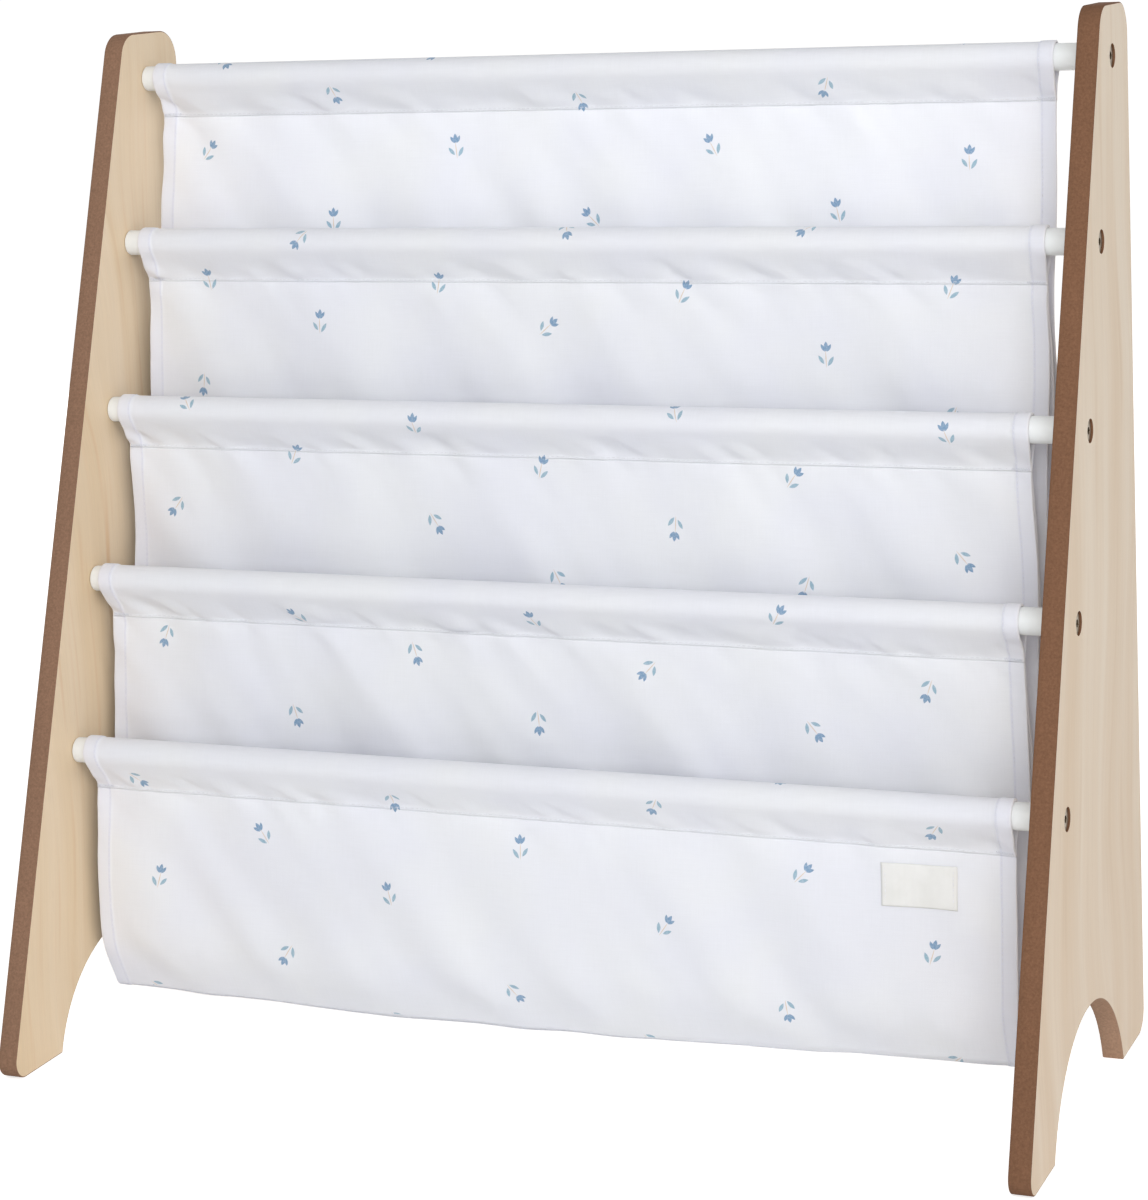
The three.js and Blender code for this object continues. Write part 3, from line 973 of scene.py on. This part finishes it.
def pocketRipple(x, v, length, fold, index):
    # broad slack waves, long folds that slant down to the right, and gathers at the seams; calmer at the fold
    seed = index * ripples["pocketSeed"] + ripples["firstPocketSeed"]
    near = min(v, length - v)
    share = v / length
    height = abs(v - fold)
    calm = 1 - ripples["foldCalm"] * math.exp(-(height / ripples["foldCalmHeight"]) ** 2)
    body = math.sin(math.pi * share) ** ripples["bodyPower"] * calm
    slackWidth, slackLength, slackHeight = ripples["slack"]
    slack = noise.noise(Vector((x / slackWidth, height / slackLength, seed))) * slackHeight
    drag = creases(x, height, seed, *ripples["drag"])
    fine = creases(x, height, seed, *ripples["fine"])
    # creases that run to the nearest corner
    atLeft = x < clothWidth / 2
    fromSide = min(x, clothWidth - x)
    lean, *rest = ripples["corner"]
    way = 1 if atLeft == (v < length / 2) else -1
    fade = math.exp(-math.hypot(fromSide, near) / ripples["cornerReach"])
    corner = creases(x, v, seed, way * lean, *rest) * fade
    corner *= min(1.0, near / ripples["cornerStart"])
    curlLength, curlHeight, curlReach = ripples["edgeCurl"]
    edgeSeed = ripples["edgeSeeds"][0 if atLeft else 1]
    edgeCurl = noise.noise(Vector((v / curlLength, seed, edgeSeed))) * curlHeight
    edgeCurl *= math.exp(-fromSide / curlReach) * body
    gathers = seamGathers(x, v, index) - seamGathers(x, length - v, index + 1)
    return body * (slack + drag + fine) + corner + edgeCurl + gathers


shortestNormal = 1e-12         # keeps the division safe


def surfaceNormals(grid):
    across = np.gradient(grid, axis=0)
    down = np.gradient(grid, axis=1)
    normals = np.cross(down, across)
    lengths = np.linalg.norm(normals, axis=2, keepdims=True)
    return normals / np.maximum(lengths, shortestNormal)


def hemShare():
    # 1 where the cloth is doubled at its side hems, 0 elsewhere
    ramp = (sling["hemWidth"] - edgeDistance) / sling["hemRamp"]
    return np.clip(ramp, 0, 1)


def makeCloth(name, grid, v, outward, turnedFrom=math.inf):
    # a closed sheet about a grid of middle points; outward is how much of the doubled hem lies on the outer
    # side, which is printed, and from turnedFrom on the inner one is
    normals = surfaceNormals(grid)
    half = sling["thickness"] / 2
    rounded = np.sqrt(np.clip(1 - (1 - np.minimum(1, edgeDistance / sling["edgeRound"])) ** 2, 0, 1))
    hem = hemShare()
    stitchDip = sling["dipDepth"] * np.exp(-((edgeDistance - sling["hemStitch"]) / sling["dipWidth"]) ** 2)
    extra = sling["thickness"] * hem[:, None] * np.ones(len(v))
    printSide = (half + extra * outward - stitchDip[:, None]) * rounded[:, None]
    backSide = (half + extra * (1 - outward) - stitchDip[:, None]) * rounded[:, None]
    front = grid + normals * printSide[..., None]
    back = grid - normals * backSide[..., None]
    nc, nr = len(columns), len(v)
    vertices = np.concatenate([front.reshape(-1, 3), back.reshape(-1, 3)])
    at = np.arange(nc * nr).reshape(nc, nr)
    under = at + nc * nr
    faces = []

    def quads(a, b, c, d):
        faces.extend(np.stack([a.ravel(), b.ravel(), c.ravel(), d.ravel()], 1).tolist())

    quads(at[:-1, :-1], at[:-1, 1:], at[1:, 1:], at[1:, :-1])
    quads(under[:-1, :-1], under[1:, :-1], under[1:, 1:], under[:-1, 1:])
    quads(at[:-1, 0], at[1:, 0], under[1:, 0], under[:-1, 0])
    quads(at[1:, -1], at[:-1, -1], under[:-1, -1], under[1:, -1])
    quads(at[0, 1:], at[0, :-1], under[0, :-1], under[0, 1:])
    quads(at[-1, :-1], at[-1, 1:], under[-1, 1:], under[-1, :-1])
    made = makeObject(name, vertices, faces, [slingPrinted, slingReverse])
    turned = np.tile(v[:-1] >= turnedFrom, nc - 1).astype(np.int32)
    slots = np.zeros(len(faces), np.int32)
    slots[:2 * len(turned)] = np.concatenate([turned, 1 - turned])
    made.data.polygons.foreach_set("material_index", slots)
    # the two cut ends are flat, so that no dark line shades the seam
    shading = np.ones(len(faces), bool)
    shading[2 * len(turned):2 * (len(turned) + nc - 1)] = False
    made.data.polygons.foreach_set("use_smooth", shading)
    layer = made.data.uv_layers.new(name="clothMetres")
    across = np.repeat(columns, nr)
    down = np.tile(v, nc)
    flat = np.column_stack([np.tile(across, 2), np.tile(down, 2)]).astype(np.float32)
    loops = np.zeros(len(made.data.loops), np.int32)
    made.data.loops.foreach_get("vertex_index", loops)
    layer.data.foreach_set("uv", flat[loops].ravel())
    return made, front, back, normals


def buildGrid(lineAt, edgesAt, places, ripple):
    grid = np.zeros((len(columns), len(places), 3))
    for c, distance in enumerate(columns):
        share = distance / clothWidth
        section = lineAt(share)
        line = resampled(section, places / places[-1] * lengthOf(section))
        for r, place in enumerate(places):
            low, high = edgesAt(place / places[-1])
            grid[c, r] = (low + (high - low) * share, *line[r])
    normals = surfaceNormals(grid)
    for c, distance in enumerate(columns):
        for r, place in enumerate(places):
            grid[c, r] += normals[c, r] * ripple(distance, place)
    return grid


# The cloth's finish: a plain weave, cool white, with a scattered print of little buds

clothPrint = {
    "printed": ((234, 236, 245), (237, 239, 244)),      # the two tones that each side drifts between
    "reverse": ((236, 238, 249), (238, 240, 248)),
    "printedInk": 1.0,            # how strongly the print shows on each side
    "reverseInk": 0.14,
    # the hems' deeper colour and the darker line along their stitching are painted shade
    "doubled": (219, 221, 236),
    "hemDepth": 0.3,
    "hemLineWidth": 0.0009,
    "hemLinePaintedShade": 0.55,
    "leafBlue": (122, 155, 187),
    "leafTeal": (148, 179, 197),
    "stem": (222, 205, 190),
    "cell": (0.079, 0.071),       # width and height of one repeat, every other column dropped by half
    "jitter": 0.28,
    "tilt": 0.9,                  # radians either way
    # each shape is (x, y, degrees, half length, half width) in millimetres about the motif's middle
    "petals": [(0.0, 5.2, 90, 2.9, 1.3), (-1.75, 4.4, 120, 2.5, 1.0), (1.75, 4.4, 60, 2.5, 1.0)],
    "leaves": [(-2.7, -3.1, 122, 3.3, 1.15), (2.9, -2.3, 55, 3.0, 1.1)],
    "stems": [(0.1, -1.9, 88, 5.2, 0.32)],
    "leafEdge": (-0.02, 0.14),
}

clothFinish = {
    "ior": 1.4,
    "gloss": 0.2,
    "sheen": 0.12,
    "sheenRoughness": 0.5,
    # thin cloth lets some light through
    "glow": 0.4,
    "glowReach": 0.002,
    # slubs: threads a little thicker here and there, one set each way
    "warp": (1, (1700, 55, 1), 2, 0.6),
    "weft": (1, (55, 1700, 1), 2, 0.6),
    "slubSpan": (0.7, 1.3),
    "slubTones": (0.982, 1.012),
    "clouds": (14, even, 2, 0.5),
    "cloudSpan": (0.35, 0.65),
    "grip": (900, even, 2, 0.6),
    "gripSpan": (0.3, 0.6),
    "gripInks": (0.74, 0.98),
    "weavePitch": 0.00055,
    "roughness": (0.84, 0.94),
    "weaveRelief": (0.00005, 0.35),
    "slubRelief": (0.00007, 0.28),
}


def makeLeafGroup():
    # one pointed leaf: 1 inside, 0 outside
    group = bpy.data.node_groups.new("leafShape", "ShaderNodeTree")
    for name, kind in {"Place": "Vector", "Centre": "Vector", "Angle": "Float", "Size": "Vector"}.items():
        group.interface.new_socket(name, in_out="INPUT", socket_type="NodeSocket" + kind)
    group.interface.new_socket("Inside", in_out="OUTPUT", socket_type="NodeSocketFloat")
    inputs = group.nodes.new("NodeGroupInput").outputs
    moved = vectorCalc(group, "SUBTRACT", inputs["Place"], inputs["Centre"])
    scaled = vectorCalc(group, "DIVIDE", turnedFlat(group, moved, inputs["Angle"]), inputs["Size"])
    parts = addNode(group, "SeparateXYZ", {0: scaled}).outputs
    bulge = calc(group, "SUBTRACT", 1.0, calc(group, "POWER", calc(group, "ABSOLUTE", parts[0]), 2.0))
    depth = calc(group, "SUBTRACT", bulge, calc(group, "ABSOLUTE", parts[1]))
    output = group.nodes.new("NodeGroupOutput")
    group.links.new(remap(group, depth, *clothPrint["leafEdge"]), output.inputs["Inside"])
    return group


def turnedFlat(tree, place, angle):
    inputs = {"Vector": place, "Angle": angle}
    return addNode(tree, "VectorRotate", inputs, rotation_type="Z_AXIS").outputs[0]


millimetres = 1000             # in a metre


def motifAmount(tree, leafGroup, place, shapes):
    # the union of a list of leaf shapes
    total = None
    for x, y, degrees, halfLength, halfWidth in shapes:
        leaf = addNode(tree, "Group", node_tree=leafGroup)
        tree.links.new(place, leaf.inputs["Place"])
        leaf.inputs["Centre"].default_value = (x / millimetres, y / millimetres, 0)
        leaf.inputs["Angle"].default_value = -math.radians(degrees)
        leaf.inputs["Size"].default_value = (halfLength / millimetres, halfWidth / millimetres, 1)
        amount = leaf.outputs["Inside"]
        total = amount if total is None else calc(tree, "MAXIMUM", total, amount)
    return total


def scatteredPlace(tree, flat):
    # where a point of the flat cloth lies about the nearest motif's middle
    width, height = clothPrint["cell"]
    parts = addNode(tree, "SeparateXYZ", {0: flat}).outputs
    acrossCells = calc(tree, "DIVIDE", parts[0], width)
    column = calc(tree, "FLOOR", acrossCells)
    drop = calc(tree, "MULTIPLY", calc(tree, "MODULO", column, 2.0), 0.5)
    downCells = calc(tree, "ADD", calc(tree, "DIVIDE", parts[1], height), drop)
    row = calc(tree, "FLOOR", downCells)
    cell = addNode(tree, "CombineXYZ", {0: column, 1: row}).outputs[0]
    chance = addNode(tree, "TexWhiteNoise", {"Vector": cell}, noise_dimensions="2D")
    shift = addNode(tree, "SeparateColor", {0: chance.outputs["Color"]}).outputs

    def fromMiddle(cells, size, luck):
        local = calc(tree, "SUBTRACT", calc(tree, "FRACT", cells), 0.5)
        moved = calc(tree, "MULTIPLY", calc(tree, "SUBTRACT", luck, 0.5), clothPrint["jitter"])
        return calc(tree, "MULTIPLY", calc(tree, "SUBTRACT", local, moved), size)

    x = fromMiddle(acrossCells, width, shift[0])
    y = fromMiddle(downCells, height, shift[1])
    local = addNode(tree, "CombineXYZ", {0: x, 1: y}).outputs[0]
    # every other motif stands on its head, and each leans a little its own way
    flip = calc(tree, "MULTIPLY", calc(tree, "MODULO", calc(tree, "ADD", row, column), 2.0), math.pi)
    sway = calc(tree, "SUBTRACT", chance.outputs["Value"], 0.5)
    lean = calc(tree, "MULTIPLY", sway, 2 * clothPrint["tilt"])
    return turnedFlat(tree, local, calc(tree, "ADD", flip, lean))


def makeSlingCloth(side, leafGroup):
    finish = clothFinish
    material, tree, shader = startMaterial(
        side + "Side", IOR=finish["ior"], Specular_IOR_Level=finish["gloss"],
        Sheen_Weight=finish["sheen"], Sheen_Roughness=finish["sheenRoughness"],
        Subsurface_Weight=finish["glow"], Subsurface_Radius=even, Subsurface_Scale=finish["glowReach"])
    flat = addNode(tree, "UVMap", uv_map="clothMetres").outputs[0]
    warp, weft, clouds, grip = (
        cloudy(tree, flat, *finish[kind]) for kind in ("warp", "weft", "clouds", "grip"))
    slub = calc(tree, "ADD", warp, weft)
    first, second = (srgb(*colour) for colour in clothPrint[side])
    base = stained(tree, first, clouds, finish["cloudSpan"], 1.0, second)
    base = shaded(tree, base, remap(tree, slub, *finish["slubSpan"], *finish["slubTones"]))
    # the doubled cloth of the side hems lets less light through, so it is painted a little deeper in colour,
    # and the thin darker line along the hem's stitching is painted shade in the groove the stitches pull in
    parts = addNode(tree, "SeparateXYZ", {0: flat}).outputs
    fromSide = calc(tree, "MINIMUM", parts[0], calc(tree, "SUBTRACT", clothWidth, parts[0]))
    hemSpan = (sling["hemWidth"], sling["hemWidth"] - sling["hemRamp"])
    hem = remap(tree, fromSide, *hemSpan, 0.0, clothPrint["hemDepth"])
    fromRow = calc(tree, "ABSOLUTE", calc(tree, "SUBTRACT", fromSide, sling["hemStitch"]))
    sewn = remap(tree, fromRow, 0.0, clothPrint["hemLineWidth"], clothPrint["hemLinePaintedShade"], 0.0)
    base = blendColours(tree, calc(tree, "ADD", hem, sewn), base, srgb(*clothPrint["doubled"]))
    # the print, with ink that takes unevenly on the threads
    place = scatteredPlace(tree, flat)
    inks = [ink * clothPrint[side + "Ink"] for ink in finish["gripInks"]]
    ink = remap(tree, grip, *finish["gripSpan"], *inks)
    for shapes, colour in (("stems", "stem"), ("leaves", "leafTeal"), ("petals", "leafBlue")):
        amount = calc(tree, "MULTIPLY", motifAmount(tree, leafGroup, place, clothPrint[shapes]), ink)
        base = blendColours(tree, amount, base, srgb(*clothPrint[colour]))
    # plain weave: threads that rise and dip in turn
    turns = 2 * math.pi / finish["weavePitch"]
    over, under = (calc(tree, "SINE", calc(tree, "MULTIPLY", parts[axis], turns)) for axis in (0, 1))
    bump = bumpFrom(tree, calc(tree, "MULTIPLY", over, under), *finish["weaveRelief"])
    bump = bumpFrom(tree, slub, *finish["slubRelief"], bump)
    roughness = remap(tree, slub, *finish["slubSpan"], *finish["roughness"])
    plug(tree, shader, Base_Color=base, Roughness=roughness, Normal=bump)
    return material


threadFinish = {
    "sheen": 0.2,
    "gloss": 0.3,
    "sewing": (234, 235, 242),
    # the tacks' greyer thread colour is painted shade, for the shading among their close stitches
    "tack": (226, 228, 237),
    "shadeTone": 0.9,
    "ply": (1500, even, 2, 0.6),
    "plySpan": (0.35, 0.7),
    "roughness": (0.55, 0.75),
    "relief": (0.00005, 0.5),
}


def makeThread(use):
    finish, colour = threadFinish, threadFinish[use]
    material, tree, shader = startMaterial(
        use + "Thread", Sheen_Weight=finish["sheen"], Specular_IOR_Level=finish["gloss"])
    ply = cloudy(tree, objectPlace(tree), *finish["ply"])
    shade = srgb(*[c * finish["shadeTone"] for c in colour])
    base = stained(tree, srgb(*colour), ply, finish["plySpan"], 1.0, shade)
    roughness = remap(tree, ply, *mostValues, *finish["roughness"])
    plug(tree, shader, Base_Color=base, Roughness=roughness, Normal=bumpFrom(tree, ply, *finish["relief"]))
    return material


leafGroup = makeLeafGroup()
slingPrinted = makeSlingCloth("printed", leafGroup)
slingReverse = makeSlingCloth("reverse", leafGroup)
sewingThread = makeThread("sewing")
tackThread = makeThread("tack")


# Stitching

stitch = {
    "pitch": 0.0031,
    "length": 0.0023,
    "radius": 0.00016,
    "sides": 6,
    # each ring is the share of the stitch's length, and its rise and its swell in radii
    "rings": ((0.0, -0.7, 0.6), (0.22, 0.45, 0.95), (0.5, 0.75, 1.0), (0.78, 0.45, 0.95), (1.0, -0.7, 0.6)),
    "hemSkip": 0.0012,         # left free at both ends of a hem's row
    "seamSkip": 0.0125,        # and of a seam's row, where the tacks are
    "tackInset": 0.0012,
    "tackPitch": 0.00045,
    "tackLength": 0.0017,
    "tackWidth": 0.0105,
}


def addStitch(vertices, faces, start, end, up):
    # one short stitch that rises out of the cloth and goes back in
    along = end - start
    side = along.cross(up).normalized()
    sides, radius = stitch["sides"], stitch["radius"]
    first = len(vertices)
    for share, height, swell in stitch["rings"]:
        middle = start + along * share + up * radius * height
        for k in range(sides):
            angle = 2 * math.pi * k / sides
            vertices.append(middle + (side * math.cos(angle) + up * math.sin(angle)) * radius * swell)
    for ring in range(len(stitch["rings"]) - 1):
        for k in range(sides):
            a = first + ring * sides
            b = a + sides
            n = (k + 1) % sides
            faces.append((a + k, b + k, b + n, a + n))
    last = first + (len(stitch["rings"]) - 1) * sides
    faces.append(tuple(first + k for k in range(sides)))
    faces.append(tuple(last + k for k in reversed(range(sides))))


def stitchLine(vertices, faces, points, ups, skip=0.0):
    # stitches end to end along a line that lies on the cloth
    points = np.array(points)
    steps = np.linalg.norm(np.diff(points, axis=0), axis=1)
    along = np.concatenate([[0], np.cumsum(steps)])
    place = skip

    def at(distance):
        point = Vector([float(np.interp(distance, along, points[:, k])) for k in range(3)])
        up = Vector([float(np.interp(distance, along, np.array(ups)[:, k])) for k in range(3)])
        return point, up.normalized()

    while place + stitch["length"] < along[-1] - skip:
        start, up = at(place)
        end, _ = at(place + stitch["length"])
        addStitch(vertices, faces, start, end, up)
        place += stitch["pitch"]


def finishStitches(name, vertices, faces, material):
    made = makeObject(name, vertices, faces, [material])
    faceOutward(made)
    return settle(made, "sling_cloth")


def hemStitches(front, back, normals, sides):
    vertices, faces = [], []
    for column in hemColumns:
        if "front" in sides:
            stitchLine(vertices, faces, front[column], normals[column], stitch["hemSkip"])
        if "back" in sides:
            stitchLine(vertices, faces, back[column], -normals[column], stitch["hemSkip"])
    return vertices, faces


def makeSleeve(index, start):
    line = sleeveLine(index)
    length = lengthOf(line)
    sewn, steps = sling["seamHeight"], sling["sewnSteps"]
    ends = [sewn * k / steps for k in range(steps + 1)]
    places = evenPlaces(ends, length, sling["sleeveRowStep"])

    def ripple(x, v):
        return sleeveRipple(x, v, length, index)

    grid = buildGrid(lambda share: line, lambda share: sleeveEdges(index, share), places, ripple)
    made, front, back, normals = makeCloth(f"sleeve_{index + 1}_cloth", grid, places, 1.0)
    if index == rodCount - 1:
        # the lowest pocket's front goes up over the front of this rod and ends behind it
        shiftPrint(made, start + length, -1)
    else:
        shiftPrint(made, start)
    vertices, faces = hemStitches(front, back, normals, ("front",))
    # sewn half way up the closed part in front, and the first and last sleeves behind as well
    behindRow = steps // 2
    frontRow = len(places) - 1 - behindRow
    rows = (frontRow, behindRow) if index in (0, rodCount - 1) else (frontRow,)
    for row in rows:
        stitchLine(vertices, faces, front[:, row], normals[:, row], stitch["seamSkip"])
    sewing = finishStitches(f"sleeve_{index + 1}_stitching", vertices, faces, sewingThread)
    tacks = makeTacks(index, front[:, frontRow], normals[:, frontRow])
    settle(made, "sling_cloth", f"sleeve_{index + 1}")
    return length


def makeTacks(index, line, normals):
    # a bar of close upright stitches at each end of a seam
    vertices, faces = [], []
    line = np.array(line)
    for end in (0, -1):
        inward = 1 if end == 0 else -1
        x = line[end][0] + inward * stitch["tackInset"]
        count = int(stitch["tackWidth"] / stitch["tackPitch"])
        for k in range(count):
            at = x + inward * k * stitch["tackPitch"]
            nearest = int(np.argmin(abs(line[:, 0] - at)))
            middle = Vector((at, line[nearest][1], line[nearest][2]))
            up = Vector(normals[nearest]).normalized()
            down = Vector((0, -up.z, up.y)).normalized()
            slant = Vector((stitch["tackPitch"] * (0.5 if k % 2 else -0.5), 0, 0))
            half = down * stitch["tackLength"] / 2
            addStitch(vertices, faces, middle - half - slant, middle + half + slant, up)
    return finishStitches(f"seam_{index + 1}_tacks", vertices, faces, tackThread)


def shiftPrint(made, start, way=1):
    # the print runs on along the cloth from start, or back towards it
    layer = made.data.uv_layers["clothMetres"]
    flat = np.zeros(len(layer.data) * 2, np.float32)
    layer.data.foreach_get("uv", flat)
    flat[1::2] = start + way * flat[1::2]
    layer.data.foreach_set("uv", flat)


def makePocket(index, start):
    section = pocketLine(index, 0.5)
    length, fold = lengthOf(section), foldPlace(section)
    places = evenPlaces(sling["seamRows"], length, sling["rowStep"])

    def ripple(x, v):
        return pocketRipple(x, v, length, fold, index)

    def edges(share):
        return pocketEdges(index, share, length)

    grid = buildGrid(lambda share: pocketLine(index, share), edges, places, ripple)
    nearSeam = np.clip(1 - np.minimum(places, length - places) / sling["hemOutsideFade"], 0, 1)
    outside = sling["hemOutsideShare"]
    # the lowest pocket's front wall shows its printed side, from the fold up
    turnedFrom = fold if index == pocketCount - 1 else math.inf
    made, front, back, normals = makeCloth(
        f"pocket_{index + 1}_cloth", grid, places, outside + (1 - outside) * nearSeam, turnedFrom)
    shiftPrint(made, start)
    vertices, faces = hemStitches(front, back, normals, ("front", "back"))
    sewing = finishStitches(f"pocket_{index + 1}_stitching", vertices, faces, sewingThread)
    settle(made, "sling_cloth", f"pocket_{index + 1}")
    return length, back


pathStart = 0.0
for i in range(rodCount):
    pathStart += makeSleeve(i, pathStart)
    if i < pocketCount:
        pocketLength, frontWall = makePocket(i, pathStart)
        pathStart += pocketLength
print(f"sling sewn: {pathStart:.3f} m of cloth")


# The small blank tag on the lowest pocket's front

tag = {
    "thickness": 0.0004,
    "lift": 0.0002,
    "edgeRound": 0.0003,
    "thinnestShare": 0.15,
    "cornerCurl": 0.0005,
    "curlReach": 0.004,
    "puff": 0.00025,
    "stitchInset": 0.0022,
    "stitchMargin": 0.001,
    "stitchSteps": 40,
    "cells": (34, 20),
}

satinFinish = {
    "sheen": 0.15,
    "gloss": 0.4,
    "colour": (231, 231, 229),
    "shade": (226, 226, 223),
    "ribPitch": 0.0005,
    "clouds": (90, even, 3, 0.5),
    "cloudSpan": (0.35, 0.7),
    "roughness": (0.5, 0.62),
    "relief": (0.00003, 0.4),
}


def makeTagSatin():
    finish = satinFinish
    material, tree, shader = startMaterial(
        "tagSatin", Sheen_Weight=finish["sheen"], Specular_IOR_Level=finish["gloss"])
    place = objectPlace(tree)
    height = addNode(tree, "SeparateXYZ", {0: place}).outputs[2]
    ribs = calc(tree, "SINE", calc(tree, "MULTIPLY", height, 2 * math.pi / finish["ribPitch"]))
    clouds = cloudy(tree, place, *finish["clouds"])
    base = stained(tree, srgb(*finish["colour"]), clouds, finish["cloudSpan"], 1.0, srgb(*finish["shade"]))
    roughness = remap(tree, clouds, *mostValues, *finish["roughness"])
    plug(tree, shader, Base_Color=base, Roughness=roughness, Normal=bumpFrom(tree, ribs, *finish["relief"]))
    return material


def makeTag(wall):
    # laid on the pocket's front, a little proud of it and rounded at its rim
    low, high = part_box("sewn_tag")
    nx, nz = tag["cells"]
    wallX = wall[:, -1, 0]
    lower = len(wall[0]) // 2
    half = tag["thickness"] / 2

    def frontY(x, z):
        rows = wall[int(np.argmin(abs(wallX - x))), lower:]
        return float(np.interp(z, rows[:, 2], rows[:, 1]))

    vertices, faces = [], []
    for way in (-1, 1):
        for a in range(nx + 1):
            for b in range(nz + 1):
                x = low.x + (high.x - low.x) * a / nx
                z = low.z + (high.z - low.z) * b / nz
                fromSide, fromEnd = min(x - low.x, high.x - x), min(z - low.z, high.z - z)
                rim = min(fromSide, fromEnd)
                body = math.sqrt(max(0.0, 1 - (1 - min(1.0, rim / tag["edgeRound"])) ** 2))
                curl = tag["cornerCurl"] * math.exp(-math.hypot(fromSide, fromEnd) / tag["curlReach"])
                puff = tag["puff"] * math.sin(math.pi * a / nx) * math.sin(math.pi * b / nz)
                middle = frontY(x, z) - tag["lift"] - half - curl - puff
                vertices.append((x, middle + way * half * max(body, tag["thinnestShare"]), z))
    count = (nx + 1) * (nz + 1)

    def at(layer, a, b):
        return layer * count + a * (nz + 1) + b

    for a in range(nx):
        for b in range(nz):
            faces.append((at(0, a, b), at(0, a + 1, b), at(0, a + 1, b + 1), at(0, a, b + 1)))
            faces.append((at(1, a, b), at(1, a, b + 1), at(1, a + 1, b + 1), at(1, a + 1, b)))
        faces.append((at(0, a, 0), at(1, a, 0), at(1, a + 1, 0), at(0, a + 1, 0)))
        faces.append((at(0, a, nz), at(0, a + 1, nz), at(1, a + 1, nz), at(1, a, nz)))
    for b in range(nz):
        faces.append((at(0, 0, b), at(0, 0, b + 1), at(1, 0, b + 1), at(1, 0, b)))
        faces.append((at(0, nx, b), at(1, nx, b), at(1, nx, b + 1), at(0, nx, b + 1)))
    made = makeObject("blank_tag", vertices, faces, [makeTagSatin()])
    faceOutward(made)
    settle(made, "tag_cloth", "sewn_tag")
    # stitched down at both short ends
    stitchVertices, stitchFaces = [], []
    inset, margin, steps = tag["stitchInset"], tag["stitchMargin"], tag["stitchSteps"]
    for x in (low.x + inset, high.x - inset):
        heights = [low.z + margin + (high.z - low.z - 2 * margin) * k / steps for k in range(steps + 1)]
        line = [(x, frontY(x, z) - tag["lift"] - tag["thickness"], z) for z in heights]
        stitchLine(stitchVertices, stitchFaces, line, [(0, -1, 0)] * len(line))
    sewing = finishStitches("tag_stitching", stitchVertices, stitchFaces, sewingThread)


makeTag(frontWall)
print("tag sewn on")


# Floor, background and light

studio = {
    "floorSize": 60.0,
    "floorColour": 0.9,
    "floorLift": 0.63,         # added only to what the camera and shiny things see
    "skyLevel": 0.47,
    # each lamp's place, size and power: a broad one in front, a weaker one at the right, and one for the back
    "lamps": {
        "frontLamp": ((1.2, -2.4, 1.35), 2.0, 46),
        "sideLamp": ((2.3, -1.3, 0.6), 1.4, 6),
        "backLamp": ((-1.5, 2.1, 1.0), 2.0, 15),
    },
    "aim": (0, 0, 0.28),
}


def lookedAt(tree):
    # 1 for what the camera, a mirror or clear glass sees, 0 for light that falls on things
    rays = addNode(tree, "LightPath").outputs
    seen = calc(tree, "MAXIMUM", rays["Is Camera Ray"], rays["Is Glossy Ray"])
    return calc(tree, "MAXIMUM", seen, rays["Is Transmission Ray"])


def makeFloor():
    material = bpy.data.materials.new("paleFloor")
    material.use_nodes = True
    tree = material.node_tree
    tree.nodes.clear()
    level = studio["floorColour"]
    diffuse = addNode(tree, "BsdfDiffuse", {"Color": (level, level, level, 1)}).outputs[0]
    lift = calc(tree, "MULTIPLY", lookedAt(tree), studio["floorLift"])
    glow = addNode(tree, "Emission", {"Strength": lift}).outputs[0]
    both = addNode(tree, "AddShader", {0: diffuse, 1: glow}).outputs[0]
    addNode(tree, "OutputMaterial", {"Surface": both})
    half = studio["floorSize"] / 2
    corners = [(-half, -half, 0), (half, -half, 0), (half, half, 0), (-half, half, 0)]
    floor = makeObject("studioFloor", corners, [(0, 1, 2, 3)], [material], smooth=False)


def makeSky():
    world = bpy.data.worlds.new("studioWorld")
    scene.world = world
    world.use_nodes = True
    tree = world.node_tree
    tree.nodes.clear()
    strength = remap(tree, lookedAt(tree), 0.0, 1.0, studio["skyLevel"], 1.0)
    light = addNode(tree, "Background", {"Color": (1, 1, 1, 1), "Strength": strength}).outputs[0]
    addNode(tree, "OutputWorld", {"Surface": light})


def addLamp(name, place, size, power):
    data = bpy.data.lights.new(name, "AREA")
    data.shape = "DISK"
    data.size = size
    data.energy = power
    lamp = bpy.data.objects.new(name, data)
    lamp.location = place
    lamp.rotation_euler = (Vector(studio["aim"]) - Vector(place)).to_track_quat("-Z", "Y").to_euler()
    scene.collection.objects.link(lamp)


makeFloor()
makeSky()
for name, (place, size, power) in studio["lamps"].items():
    addLamp(name, place, size, power)
print("studio lit")
